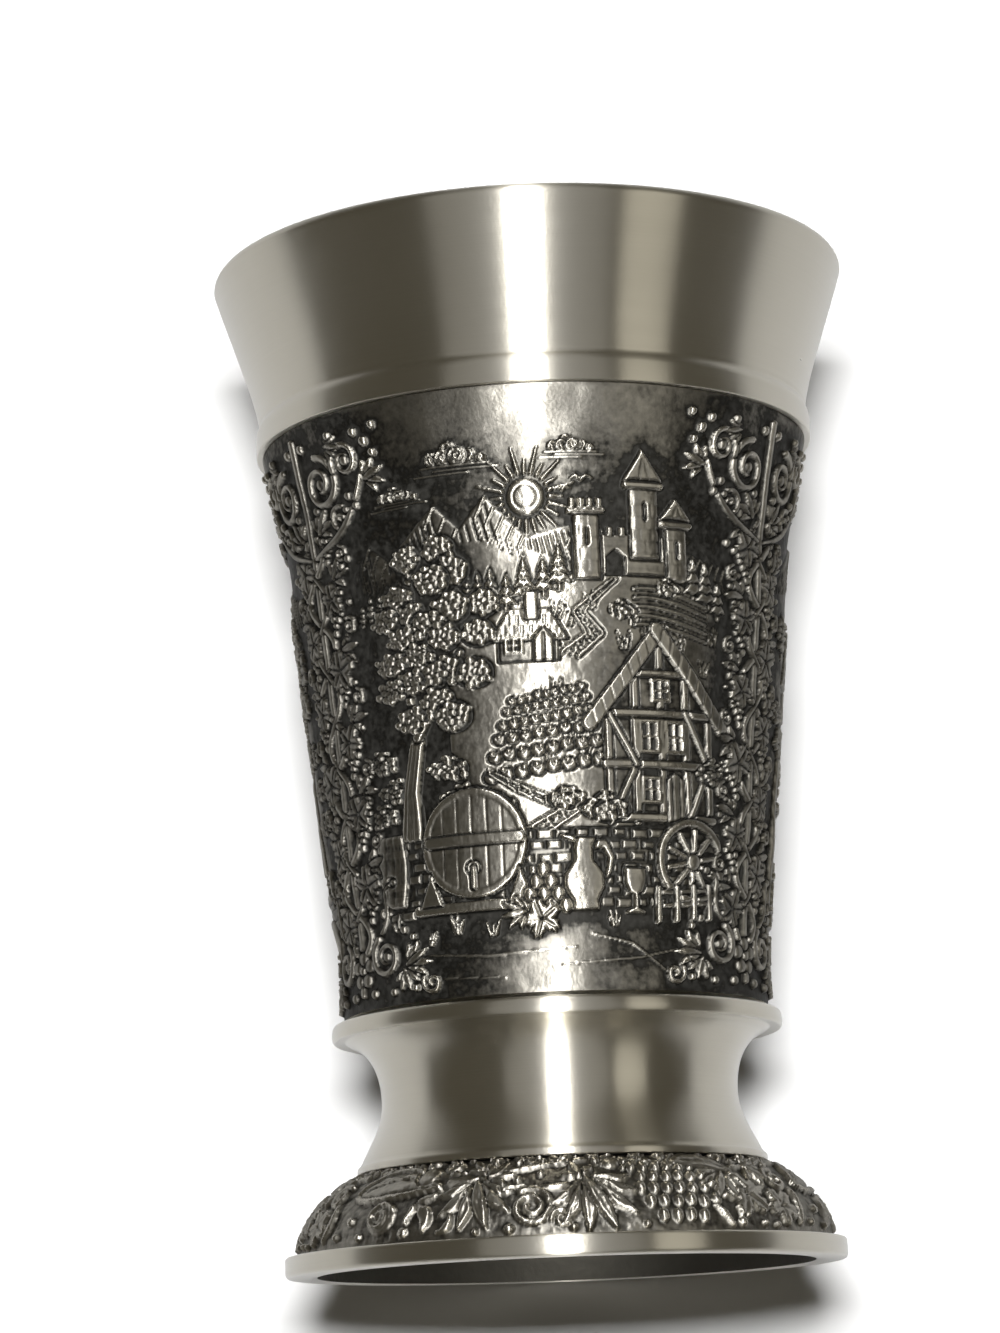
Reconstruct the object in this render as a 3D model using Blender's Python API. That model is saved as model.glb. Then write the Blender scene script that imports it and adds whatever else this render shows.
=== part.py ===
"""Pewter shot cup on a spool foot: a tapered cast bowl with a relief band, a turned flared lip
collar, a soldered-in floor, a turned neck and a cast relief skirt with a plain flange.

The cup stands on the XY plane with its axis on +Z, and the middle of its front picture panel
looks along -Y. Sizes are in millimetres and become metres where the meshes are made.
Run with: blender --background --python part.py
"""

import math

import bmesh
import bpy
from mathutils import Vector
from mathutils.geometry import delaunay_2d_cdt, interpolate_bezier

MM = 0.001

# Heights of the stacked zones, from the table up
FLANGE_EDGE = 1.3
SKIRT_RISE = 5.2
NECK_LIP_EDGE = 0.9
LOWER_SCOTIA_RISE = 3.6
UPPER_SCOTIA_RISE = 3.5
BEAD_RISE = 1.9
BODY_RISE = 37.5
COLLAR_RISE = 12.1

# The bowl's foot sets the cup's width, and each zone stands in or out from its neighbour
BODY_FOOT_RADIUS = 13.3
BODY_TAPER = 3.9
COLLAR_OVERHANG = 0.75
RIM_FLARE = 2.55
BEAD_OVERHANG = 0.75
BEAD_UNDERCUT = 1.05
WAIST_DEPTH = 1.8
NECK_LIP_REACH = 1.6
NECK_LIP_STEP = 0.3
SKIRT_SET_IN = 0.15
SKIRT_REACH = 4.0
FLANGE_LEDGE = 0.9

# Walls
BODY_WALL = 1.25
RIM_WALL = 1.1
NECK_WALL = 2.2
SKIRT_WALL = 1.2
FLANGE_WIDTH = 2.05
FLOOR_THICKNESS = 1.4

# Joints: every seat keeps the width of its solder film
JOINT_GAP = 0.3
COLLAR_LAP = 2.8
COLLAR_TENON_STEP = 0.15
FLOOR_SEAT_RISE = 1.2
SKIRT_TENON_RISE = 1.5
SKIRT_TENON_WALL = 1.0
SOLDER_LEG = 0.8

# Edges and mouldings
BEVEL = 0.25
COLLAR_BAND = 1.7
COLLAR_BAND_STEP = 0.22
RIM_ROUND_STEPS = 6

# Relief. The pictures and pillars are laid out flat, at these sizes of the sheet, and follow the
# wall when its sizes change
RELIEF = 0.5
HIGH = 0.46
MIDDLE = 0.4
LOW = 0.27
RELIEF_SLOPE = 0.4
SHEET_RISE = 36.9
SHEET_FOOT_RADIUS = 13.33
SHEET_TOP_RADIUS = 17.17
PILLARS = 3
LEAF_PAIRS = 5
LEAF_PITCH = 4.6
RELIEF_COLUMNS = 60
GROUND_COLUMNS = 40
GROUND_ROWS = 12
CLEAR_OF_EDGES = 0.7
MERGE = 0.04

SKIRT_RELIEF = 0.42
SKIRT_COLUMNS = 72
SKIRT_ROWS = 8
VINE_WAVES = 9
VINE_SWING = 0.3
VINE_STEM = 0.25

TURNED_SEGMENTS = 56
SOLDER_SEGMENTS = 32

# Levels and radii that follow from the sizes above
NECK_FOOT_Z = FLANGE_EDGE + SKIRT_RISE
LIP_TOP_Z = NECK_FOOT_Z + NECK_LIP_EDGE
WAIST_Z = LIP_TOP_Z + LOWER_SCOTIA_RISE
BEAD_FOOT_Z = WAIST_Z + UPPER_SCOTIA_RISE
BODY_FOOT_Z = BEAD_FOOT_Z + BEAD_RISE
COLLAR_FOOT_Z = BODY_FOOT_Z + BODY_RISE
COLLAR_SHOULDER_Z = COLLAR_FOOT_Z + COLLAR_LAP
RIM_Z = COLLAR_FOOT_Z + COLLAR_RISE
FLOOR_SEAT_Z = BODY_FOOT_Z + FLOOR_SEAT_RISE
FLOOR_Z = FLOOR_SEAT_Z + JOINT_GAP
FLOOR_TOP_Z = FLOOR_Z + FLOOR_THICKNESS
SKIRT_SEAT_Z = NECK_FOOT_Z - JOINT_GAP
SOCKET_TOP_Z = NECK_FOOT_Z + SKIRT_TENON_RISE

BODY_TOP_RADIUS = BODY_FOOT_RADIUS + BODY_TAPER
COLLAR_RADIUS = BODY_TOP_RADIUS + RELIEF + COLLAR_OVERHANG
RIM_RADIUS = COLLAR_RADIUS + RIM_FLARE
BODY_TENON_RADIUS = BODY_TOP_RADIUS - COLLAR_TENON_STEP
BEAD_RADIUS = BODY_FOOT_RADIUS + RELIEF + BEAD_OVERHANG
WAIST_RADIUS = BODY_FOOT_RADIUS - WAIST_DEPTH
NECK_BORE = WAIST_RADIUS - NECK_WALL
NECK_LIP_RADIUS = WAIST_RADIUS + NECK_LIP_REACH
SKIRT_TOP_RADIUS = NECK_LIP_RADIUS - SKIRT_SET_IN
SKIRT_FOOT_RADIUS = NECK_LIP_RADIUS + SKIRT_REACH
SKIRT_TENON_RADIUS = WAIST_RADIUS - JOINT_GAP
SKIRT_TENON_BORE = SKIRT_TENON_RADIUS - SKIRT_TENON_WALL
FLANGE_RADIUS = SKIRT_FOOT_RADIUS + FLANGE_LEDGE


def clear_scene():
    """Removes whatever the opened file holds."""
    for found in list(bpy.data.objects):
        bpy.data.objects.remove(found, do_unlink=True)


def metal(name, colour, roughness):
    """A metal surface with one colour and one roughness."""
    made = bpy.data.materials.new(name)
    made.use_nodes = True
    shader = made.node_tree.nodes["Principled BSDF"]
    shader.inputs["Base Color"].default_value = (*colour, 1.0)
    shader.inputs["Metallic"].default_value = 1.0
    shader.inputs["Roughness"].default_value = roughness
    return made


def curve(start, lead_out, lead_in, end, steps):
    """Points of a smooth profile curve from start to end, which leaves towards lead_out and arrives
    from lead_in. Each is a (radius, height) pair, and the start itself is left out."""
    corners = [Vector((*point, 0.0)) for point in (start, lead_out, lead_in, end)]
    return [(p.x, p.y) for p in interpolate_bezier(*corners, steps + 1)][1:]


def bore_radius(height):
    """Radius of the bowl's bore, which keeps the body's wall inside its outer taper."""
    share = (height - BODY_FOOT_Z) / BODY_RISE
    return BODY_FOOT_RADIUS + (BODY_TOP_RADIUS - BODY_FOOT_RADIUS) * share - BODY_WALL


def ground_radius(height):
    """Radius of the body's outer surface between the raised motifs."""
    return bore_radius(height) + BODY_WALL


def revolve(name, profile, segments, material):
    """A solid of revolution about the Z axis from a closed (radius, height) profile in millimetres."""
    mesh = bpy.data.meshes.new(name)
    bm = bmesh.new()
    corners = [bm.verts.new((r * MM, 0.0, z * MM)) for r, z in profile]
    on_axis = [abs(r) < 1e-9 for r, z in profile]
    edges = []
    for i in range(len(corners)):
        after = (i + 1) % len(corners)
        if not (on_axis[i] and on_axis[after]):
            edges.append(bm.edges.new((corners[i], corners[after])))
    bmesh.ops.spin(
        bm,
        geom=corners + edges,
        cent=(0.0, 0.0, 0.0),
        axis=(0.0, 0.0, 1.0),
        angle=math.tau,
        steps=segments,
        use_merge=True,
    )
    bmesh.ops.remove_doubles(bm, verts=bm.verts, dist=1e-7)
    bmesh.ops.recalc_face_normals(bm, faces=bm.faces)
    bm.to_mesh(mesh)
    bm.free()
    return add_piece(name, mesh, material)


def add_piece(name, mesh, material):
    """Puts a mesh into the scene as one smooth-shaded piece."""
    mesh.shade_smooth()
    mesh.set_sharp_from_angle(angle=math.radians(35.0))
    mesh.materials.append(material)
    piece = bpy.data.objects.new(name, mesh)
    bpy.context.scene.collection.objects.link(piece)
    return piece


def raise_relief(piece, ground, height_at, low, high):
    """Moves the outer skin between two heights outwards by height_at(angle, height). The skin is what
    lies on the ground's radius or outside it."""
    margin = 0.01
    for vertex in piece.data.vertices:
        x, y, z = (c / MM for c in vertex.co)
        radius = math.hypot(x, y)
        if not low + margin < z < high - margin:
            continue
        if radius < ground(z) - margin:
            continue
        angle = math.atan2(x, -y)
        grown = (radius + height_at(angle, z)) / radius
        vertex.co.x *= grown
        vertex.co.y *= grown


def inset(corners, distance):
    """Corners of a convex outline, which runs anticlockwise, moved inwards by a distance."""
    moved = []
    for before, corner, after in zip(corners[-1:] + corners[:-1], corners, corners[1:] + corners[:1]):
        before, corner, after = Vector(before), Vector(corner), Vector(after)
        along, onward = (corner - before).normalized(), (after - corner).normalized()
        normal, next_normal = Vector((-along.y, along.x)), Vector((-onward.y, onward.x))
        mitre = normal + next_normal
        moved.append(tuple(corner + mitre * (2.0 * distance / mitre.length_squared)))
    return moved


def plate(corners, height):
    """A raised form with a flat top: a convex outline, anticlockwise, and a crest set in from it."""
    return corners, inset(corners, RELIEF_SLOPE), height, RELIEF_SLOPE


def oval(cx, cy, rx, ry, height, sides=6):
    """A raised oval, with a flat top where it is wide enough and otherwise with a peak."""
    turns = [math.tau * (k + 0.5) / sides for k in range(sides)]
    corners = [(cx + rx * math.cos(turn), cy + ry * math.sin(turn)) for turn in turns]
    if min(rx, ry) > 3.0 * RELIEF_SLOPE:
        return plate(corners, height)
    return corners, [(cx, cy)], height, min(rx, ry) * math.cos(math.pi / sides)


def bar(start, end, width, height):
    """A raised bar with a ridge along its middle."""
    start, end = Vector(start), Vector(end)
    along = (end - start).normalized() * (width / 2.0)
    across = Vector((along.y, -along.x))
    corners = [tuple(p) for p in (start + across, end + across, end - across, start - across)]
    return corners, [tuple(start + along), tuple(end - along)], height, width / 2.0


def tower(cx, foot, eave, wide, roof):
    """A tower's wall and its pointed roof."""
    half = wide / 2.0
    wall = plate([(cx - half, foot), (cx + half, foot), (cx + half, eave), (cx - half, eave)], MIDDLE)
    reach = half + 0.25
    point = [(cx - reach, eave), (cx + reach, eave), (cx, eave + roof)]
    depth = reach * roof / (reach + math.hypot(reach, roof))
    return [wall, (point, [(cx, eave + depth)], HIGH, depth)]


def gabled_house(left, right, foot, eave, ridge):
    """The front of a house under a gable: the wall, the two slopes of the roof and a beam."""
    middle = (left + right) / 2.0
    wall = [(left, foot), (right, foot), (right, eave), (middle, ridge), (left, eave)]
    return [
        plate(wall, LOW + 0.06),
        bar((left - 0.9, eave - 1.0), (middle + 0.2, ridge + 0.5), 1.1, HIGH),
        bar((middle - 0.2, ridge + 0.5), (right + 0.9, eave - 1.0), 1.1, HIGH),
        bar((left, (foot + eave) / 2.0), (right, (foot + eave) / 2.0), 0.7, MIDDLE),
    ]


def long_house(left, right, foot, eave, ridge):
    """A long house seen from the side: the wall and its roof."""
    roof = [(left - 0.5, eave), (right + 0.5, eave), (right - 0.3, ridge), (left + 0.3, ridge)]
    return [plate([(left, foot), (right, foot), (right, eave + 0.3), (left, eave + 0.3)], LOW + 0.06), plate(roof, HIGH)]


def big_tree(foot, fork, crown, rx, ry):
    """A tree: its trunk, and leaf masses spread round the crown's middle."""
    masses = [(-0.5, -0.55), (0.55, -0.5), (-0.62, 0.22), (0.6, 0.25), (0.0, 0.72), (0.0, -0.12)]
    forms = [bar(foot, fork, 1.5, MIDDLE)]
    for across, up in masses:
        forms.append(oval(crown[0] + rx * across, crown[1] + ry * up, rx * 0.52, ry * 0.4, HIGH, 7))
    return forms


def vineyard(low, high, rows, rise):
    """Rows of vines up a slope, one bar to two rows."""
    forms = []
    for k in range(rows):
        up = Vector((0.5 * k, rise * k))
        forms.append(bar(Vector(low) + up, Vector(high) + up * 0.96, 1.2, MIDDLE))
    return forms


def village():
    """The front picture: a tree and casks before a village street, a vineyard and a castle."""
    hill = [(-3.6, 10.4), (11.0, 10.4), (12.0, 23.8), (7.5, 26.0), (2.5, 25.7), (-2.4, 23.6)]
    forms = [plate(hill, LOW)]
    forms += big_tree((-8.9, 9.6), (-8.1, 18.0), (-7.1, 22.4), 4.9, 6.6)
    forms += gabled_house(3.7, 11.3, 10.6, 17.2, 21.8)
    forms += long_house(-2.6, 1.1, 20.4, 22.0, 23.6)
    forms += tower(6.9, 26.9, 31.4, 2.0, 2.0) + tower(3.1, 25.6, 29.0, 1.8, 1.0) + tower(9.1, 25.4, 29.0, 1.7, 1.4)
    forms += [plate([(4.3, 25.6), (8.0, 25.6), (8.0, 28.0), (4.3, 28.0)], MIDDLE)]
    forms += vineyard((-3.2, 13.9), (3.2, 14.6), 3, 2.2)
    forms += [
        oval(-4.7, 9.4, 3.4, 3.4, HIGH, 12),
        bar((-8.6, 5.4), (-0.9, 5.4), 0.9, MIDDLE),
        plate([(-11.4, 3.7), (-9.6, 3.7), (-9.3, 5.9), (-9.6, 8.2), (-11.4, 8.2)], MIDDLE),
        plate([(1.3, 4.9), (2.9, 4.9), (3.5, 6.6), (2.9, 9.3), (1.4, 9.3), (0.8, 6.6)], HIGH),
        oval(5.3, 7.2, 0.8, 1.1, HIGH),
        oval(9.5, 8.0, 2.7, 2.7, MIDDLE, 10),
        bar((6.6, 5.2), (11.6, 5.5), 0.8, MIDDLE),
        oval(-0.6, 4.9, 1.3, 1.2, MIDDLE),
        oval(-0.6, 30.6, 1.2, 1.2, LOW, 8),
        oval(-5.2, 33.4, 2.2, 0.8, LOW),
        oval(2.2, 33.6, 1.7, 0.65, LOW),
        oval(-10.6, 13.4, 1.6, 1.9, MIDDLE),
        oval(-5.8, 13.9, 1.2, 1.1, MIDDLE),
        oval(2.4, 11.4, 1.5, 1.0, HIGH),
        oval(0.2, 25.2, 1.6, 1.3, MIDDLE),
        oval(11.0, 25.2, 1.2, 1.3, MIDDLE),
    ]
    return forms


def mill():
    """The left picture: a mill with its wheel by a stream, a bridge, trees and a tower."""
    hill = [(-11.0, 10.0), (11.4, 10.0), (12.6, 21.6), (5.0, 21.0), (-2.0, 22.6), (-12.0, 20.6)]
    forms = [plate(hill, LOW)]
    forms += big_tree((8.6, 9.8), (8.0, 18.0), (7.4, 22.4), 4.8, 6.4)
    forms += gabled_house(-9.6, -2.2, 9.2, 15.0, 19.4)
    forms += long_house(-3.2, 2.2, 21.0, 23.6, 26.2)
    forms += tower(-4.6, 21.6, 28.6, 2.2, 3.4)
    forms += vineyard((-11.0, 18.0), (-8.0, 18.4), 2, 1.8)
    forms += [
        oval(0.6, 9.6, 3.5, 3.5, HIGH, 12),
        plate([(4.2, 4.4), (11.4, 4.4), (11.6, 7.6), (4.0, 7.6)], LOW + 0.06),
        bar((3.8, 7.9), (11.8, 7.9), 0.9, HIGH),
        plate([(-11.2, 3.0), (-9.2, 3.0), (-8.9, 4.9), (-9.2, 6.8), (-11.2, 6.8)], HIGH),
        plate([(-7.7, 2.8), (-5.5, 2.8), (-5.2, 4.4), (-5.5, 6.0), (-7.7, 6.0)], HIGH),
        bar((-5.0, 1.6), (6.4, 1.6), 0.7, LOW),
        bar((-3.0, 3.6), (3.4, 3.6), 0.7, LOW),
        oval(4.2, 12.6, 1.8, 1.5, MIDDLE),
        oval(11.0, 13.2, 1.2, 1.9, MIDDLE),
        oval(0.9, 18.9, 2.7, 1.4, MIDDLE),
        oval(-8.2, 23.4, 2.2, 1.7, MIDDLE),
        oval(0.4, 33.5, 2.2, 0.8, LOW),
        oval(-8.4, 31.0, 1.7, 0.65, LOW),
        oval(8.6, 31.6, 1.5, 0.6, LOW),
    ]
    return forms


def harvest():
    """The right picture: a wine press under an arbour, a laden cart and a barn below the hills."""
    hill = [(-11.4, 11.8), (11.8, 11.8), (13.2, 23.8), (8.0, 24.4), (1.0, 22.8), (-12.6, 23.4)]
    forms = [plate(hill, LOW)]
    forms += long_house(-10.0, -1.6, 17.4, 21.0, 24.6) + long_house(3.6, 9.2, 22.6, 24.6, 26.8)
    forms += tower(2.6, 22.8, 27.6, 1.8, 2.6)
    forms += vineyard((0.8, 14.8), (10.8, 15.5), 3, 2.0)
    forms += [
        bar((-10.2, 5.2), (-10.2, 16.4), 0.8, HIGH),
        bar((-1.4, 5.2), (-1.4, 16.4), 0.8, HIGH),
        bar((-11.4, 16.8), (-0.2, 16.8), 1.6, HIGH),
        plate([(-8.6, 5.0), (-3.0, 5.0), (-3.4, 9.4), (-8.2, 9.4)], HIGH),
        bar((-5.8, 9.0), (-5.8, 13.6), 0.8, HIGH),
        bar((-8.6, 13.0), (-3.0, 12.2), 0.8, HIGH),
        plate([(2.0, 8.2), (10.6, 9.0), (11.0, 12.4), (1.6, 11.4)], HIGH),
        oval(3.9, 6.4, 2.4, 2.4, HIGH, 10),
        oval(9.4, 6.7, 2.4, 2.4, HIGH, 10),
        plate([(-1.7, 3.4), (-0.5, 3.4), (-0.1, 4.7), (-0.5, 6.5), (-1.7, 6.5), (-2.1, 4.7)], HIGH),
        bar((-11.0, 3.5), (-4.9, 3.4), 0.8, MIDDLE),
        oval(0.5, 9.4, 1.5, 1.4, MIDDLE),
        oval(0.4, 24.2, 1.5, 1.5, MIDDLE),
        oval(11.2, 24.8, 1.2, 1.3, MIDDLE),
        oval(-1.0, 30.4, 1.2, 1.2, LOW, 8),
        oval(-5.4, 33.3, 2.1, 0.8, LOW),
        oval(3.6, 33.5, 1.9, 0.7, LOW),
    ]
    return forms


def vine_pillar():
    """A pillar of vine: a rod with leaves and grapes in turn, a row of beads down each side, scrolls at
    the top and the foot, and a flower on the rod's foot."""
    forms = [bar((0.0, 1.0), (0.0, 36.4), 1.0, MIDDLE), oval(0.0, 2.5, 1.3, 1.3, HIGH)]
    for k in range(LEAF_PAIRS):
        for side in (-1, 1):
            up = 6.0 + LEAF_PITCH * (k + (side + 1) / 4.0)
            forms.append(oval(side * 1.45, up, 1.1, 1.2, HIGH))
    for side in (-1, 1):
        forms += [
            bar((side * 2.75, 5.2), (side * 2.95, 28.0), 0.6, MIDDLE),
            oval(side * 2.3, 33.4, 1.9, 1.9, MIDDLE, 8),
            oval(side * 5.3, 34.4, 1.6, 1.5, MIDDLE, 7),
            oval(side * 3.6, 30.9, 1.2, 1.1, MIDDLE),
            oval(side * 6.6, 32.4, 1.1, 1.2, MIDDLE),
            oval(side * 2.7, 3.1, 1.5, 1.5, MIDDLE, 7),
            oval(side * 4.9, 2.0, 1.4, 1.2, MIDDLE),
            oval(side * 6.6, 1.3, 0.8, 0.8, MIDDLE),
        ]
    return forms


def laid_round(forms, turn, mean_radius, rise):
    """The forms of one picture or pillar on the unrolled wall, where widths are those at the mean
    radius. Each point keeps its angle from the picture's middle, which is turned from the front."""
    def place(point):
        share = point[1] / SHEET_RISE
        radius = SHEET_FOOT_RADIUS + (SHEET_TOP_RADIUS - SHEET_FOOT_RADIUS) * share
        return (turn + point[0] / radius) * mean_radius, rise * share

    return [([place(p) for p in corners], [place(p) for p in crest], height, slope) for corners, crest, height, slope in forms]


def depth_inside(corners, point):
    """Distance of a point from the nearest side of a convex outline, negative outside it."""
    depth = math.inf
    for (x0, y0), (x1, y1) in zip(corners, corners[1:] + corners[:1]):
        across = (x1 - x0) * (point[1] - y0) - (y1 - y0) * (point[0] - x0)
        depth = min(depth, across / math.hypot(x1 - x0, y1 - y0))
    return depth


def raised_at(forms, point):
    """Height of the relief at one point: the tallest of the forms that reach it."""
    tallest = 0.0
    for corners, crest, height, slope in forms:
        depth = depth_inside(corners, point)
        if depth > 0.0:
            tallest = max(tallest, height * min(1.0, depth / slope))
    return tallest


def relief_sheet(forms, half, rise):
    """Points and triangles of the unrolled skin, from -half to half across. Every outline and crest of
    the forms is an edge of the mesh, and the open ground gets a loose grid of points."""
    points, edges = [], []

    def add_line(line, closed):
        first = len(points)
        points.extend(line)
        for k in range(len(line) - (0 if closed else 1)):
            edges.append((first + k, first + (k + 1) % len(line)))

    across = [half * (2.0 * k / RELIEF_COLUMNS - 1.0) for k in range(RELIEF_COLUMNS + 1)]
    up = [rise * k / GROUND_ROWS for k in range(GROUND_ROWS + 1)]
    border = [(u, 0.0) for u in across] + [(half, v) for v in up[1:]]
    border += [(u, rise) for u in reversed(across[:-1])] + [(-half, v) for v in reversed(up[1:-1])]
    add_line(border, True)
    for corners, crest, height, slope in forms:
        add_line(corners, True)
        add_line(crest, len(crest) > 2)
    for row in range(1, GROUND_ROWS):
        for column in range(GROUND_COLUMNS):
            u = half * (2.0 * (column + 0.25 + 0.5 * (row % 2)) / GROUND_COLUMNS - 1.0)
            clear = all(
                abs(depth_inside(loop, (u, up[row]))) > CLEAR_OF_EDGES
                for corners, crest, height, slope in forms
                for loop in ((corners, crest) if len(crest) > 2 else (corners,))
            )
            if clear:
                points.append((u, up[row]))
    made = delaunay_2d_cdt([Vector(p) for p in points], edges, [], 0, MERGE, False)
    inside = []
    for face in made[2]:
        middle = sum((made[0][i] for i in face), Vector((0.0, 0.0))) / 3.0
        if abs(middle.x) < half and 0.0 < middle.y < rise:
            inside.append(face)
    return made[0], inside


def skirt_relief(angle, height):
    """Height of the vine that winds round the skirt as one wave."""
    share = (height - FLANGE_EDGE) / SKIRT_RISE
    wave = 0.5 + VINE_SWING * math.sin(VINE_WAVES * angle)
    return SKIRT_RELIEF * max(0.0, 1.0 - abs(share - wave) / VINE_STEM)


def make_lip_collar(material):
    """The turned collar: a trumpet lip with a rounded rim, over a plain band whose sharp lower edge
    stands proud of the relief. It laps over the body's tenon."""
    lap_bore = BODY_TENON_RADIUS + JOINT_GAP
    band_top = COLLAR_FOOT_Z + COLLAR_BAND
    waist = (COLLAR_RADIUS - COLLAR_BAND_STEP, band_top + COLLAR_BAND_STEP)
    round_z = RIM_Z - RIM_WALL / 2
    flare_rise = round_z - waist[1]
    outer = [
        (lap_bore, COLLAR_FOOT_Z),
        (COLLAR_RADIUS - BEVEL / 2, COLLAR_FOOT_Z),
        (COLLAR_RADIUS, COLLAR_FOOT_Z + BEVEL / 2),
        (COLLAR_RADIUS, band_top),
        waist,
    ]
    outer += curve(
        waist,
        (waist[0], waist[1] + flare_rise * 0.19),
        (RIM_RADIUS - RIM_FLARE * 0.43, round_z - flare_rise * 0.37),
        (RIM_RADIUS, round_z),
        7,
    )
    rim = []
    for step in range(1, RIM_ROUND_STEPS):
        turn = math.pi * step / RIM_ROUND_STEPS
        across = math.cos(turn) * RIM_WALL / 2
        rim.append((RIM_RADIUS - RIM_WALL / 2 + across, round_z + math.sin(turn) * RIM_WALL / 2))
    mouth = (RIM_RADIUS - RIM_WALL, round_z)
    shoulder = (bore_radius(COLLAR_SHOULDER_Z), COLLAR_SHOULDER_Z)
    inner_rise = round_z - COLLAR_SHOULDER_Z
    inner = [mouth]
    inner += curve(
        mouth,
        (mouth[0] - RIM_FLARE * 0.43, round_z - inner_rise * 0.37),
        (shoulder[0] + RIM_FLARE * 0.1, COLLAR_SHOULDER_Z + inner_rise * 0.35),
        shoulder,
        5,
    )
    profile = outer + rim + inner + [(lap_bore, COLLAR_SHOULDER_Z)]
    return revolve("lip_collar", profile, TURNED_SEGMENTS, material)


def relief_forms(mean_radius, rise):
    """All forms on the unrolled wall: three pictures, the front one in the middle, and a pillar between
    each two. What crosses the seam at the back is there on both sides."""
    third = math.tau / PILLARS
    forms = []
    for k, picture in enumerate((mill(), village(), harvest())):
        forms += laid_round(picture, third * (k - 1), mean_radius, rise)
        forms += laid_round(vine_pillar(), third * (k - 0.5), mean_radius, rise)
    half = math.pi * mean_radius
    for corners, crest, height, slope in list(forms):
        for way in (-1.0, 1.0):
            if max(way * u for u, v in corners) > half:
                shift = -2.0 * half * way
                moved = [[(u + shift, v) for u, v in line] for line in (corners, crest)]
                forms.append((*moved, height, slope))
    return forms


def make_relief_body(material):
    """The cast wall of the bowl. Its outer skin is the unrolled sheet of the relief, bent round the
    axis, and its edge is drawn on over a plain tenon and down the bore."""
    foot_z = BODY_FOOT_Z + JOINT_GAP
    shoulder_z = COLLAR_FOOT_Z - JOINT_GAP
    tenon_z = COLLAR_SHOULDER_Z - JOINT_GAP
    mean_radius = (ground_radius(foot_z) + ground_radius(shoulder_z)) / 2.0
    rise = shoulder_z - foot_z
    forms = relief_forms(mean_radius, rise)
    points, triangles = relief_sheet(forms, math.pi * mean_radius, rise)
    bm = bmesh.new()

    def at(angle, radius, z):
        return Vector((radius * math.sin(angle), -radius * math.cos(angle), z)) * MM

    corners = []
    for u, v in points:
        z = foot_z + v
        inside = 0.0 < v < rise and abs(u) <= math.pi * mean_radius + MERGE
        radius = ground_radius(z) + (raised_at(forms, (u, v)) if inside else 0.0)
        corners.append(bm.verts.new(at(u / mean_radius, radius, z)))
    for triangle in triangles:
        bm.faces.new([corners[i] for i in triangle])
    bmesh.ops.delete(bm, geom=[v for v in bm.verts if not v.link_faces], context="VERTS")
    bmesh.ops.remove_doubles(bm, verts=bm.verts, dist=MERGE * MM / 2.0)
    rim = [e for e in bm.edges if e.is_boundary]
    top = [e for e in rim if e.verts[0].co.z > (foot_z + rise / 2.0) * MM]
    foot = [e for e in rim if e not in top]
    closing = [
        (BODY_TENON_RADIUS, shoulder_z),
        (BODY_TENON_RADIUS, tenon_z),
        (bore_radius(tenon_z), tenon_z),
        (bore_radius(foot_z), foot_z),
    ]
    for radius, z in closing:
        grown = bmesh.ops.extrude_edge_only(bm, edges=top)["geom"]
        for vertex in (g for g in grown if isinstance(g, bmesh.types.BMVert)):
            vertex.co = at(math.atan2(vertex.co.x, -vertex.co.y), radius, z)
        top = [g for g in grown if isinstance(g, bmesh.types.BMEdge)]
    bmesh.ops.bridge_loops(bm, edges=top + foot)
    bmesh.ops.recalc_face_normals(bm, faces=bm.faces)
    mesh = bpy.data.meshes.new("relief_body")
    bm.to_mesh(mesh)
    bm.free()
    return add_piece("relief_body", mesh, material)


def make_bowl_floor(material):
    """The floor plate, slipped into the bowl's bore and seated on the neck's upstand."""
    profile = [
        (0.0, FLOOR_Z),
        (bore_radius(FLOOR_Z) - JOINT_GAP, FLOOR_Z),
        (bore_radius(FLOOR_TOP_Z) - JOINT_GAP, FLOOR_TOP_Z),
        (0.0, FLOOR_TOP_Z),
    ]
    return revolve("bowl_floor", profile, TURNED_SEGMENTS, material)


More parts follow.
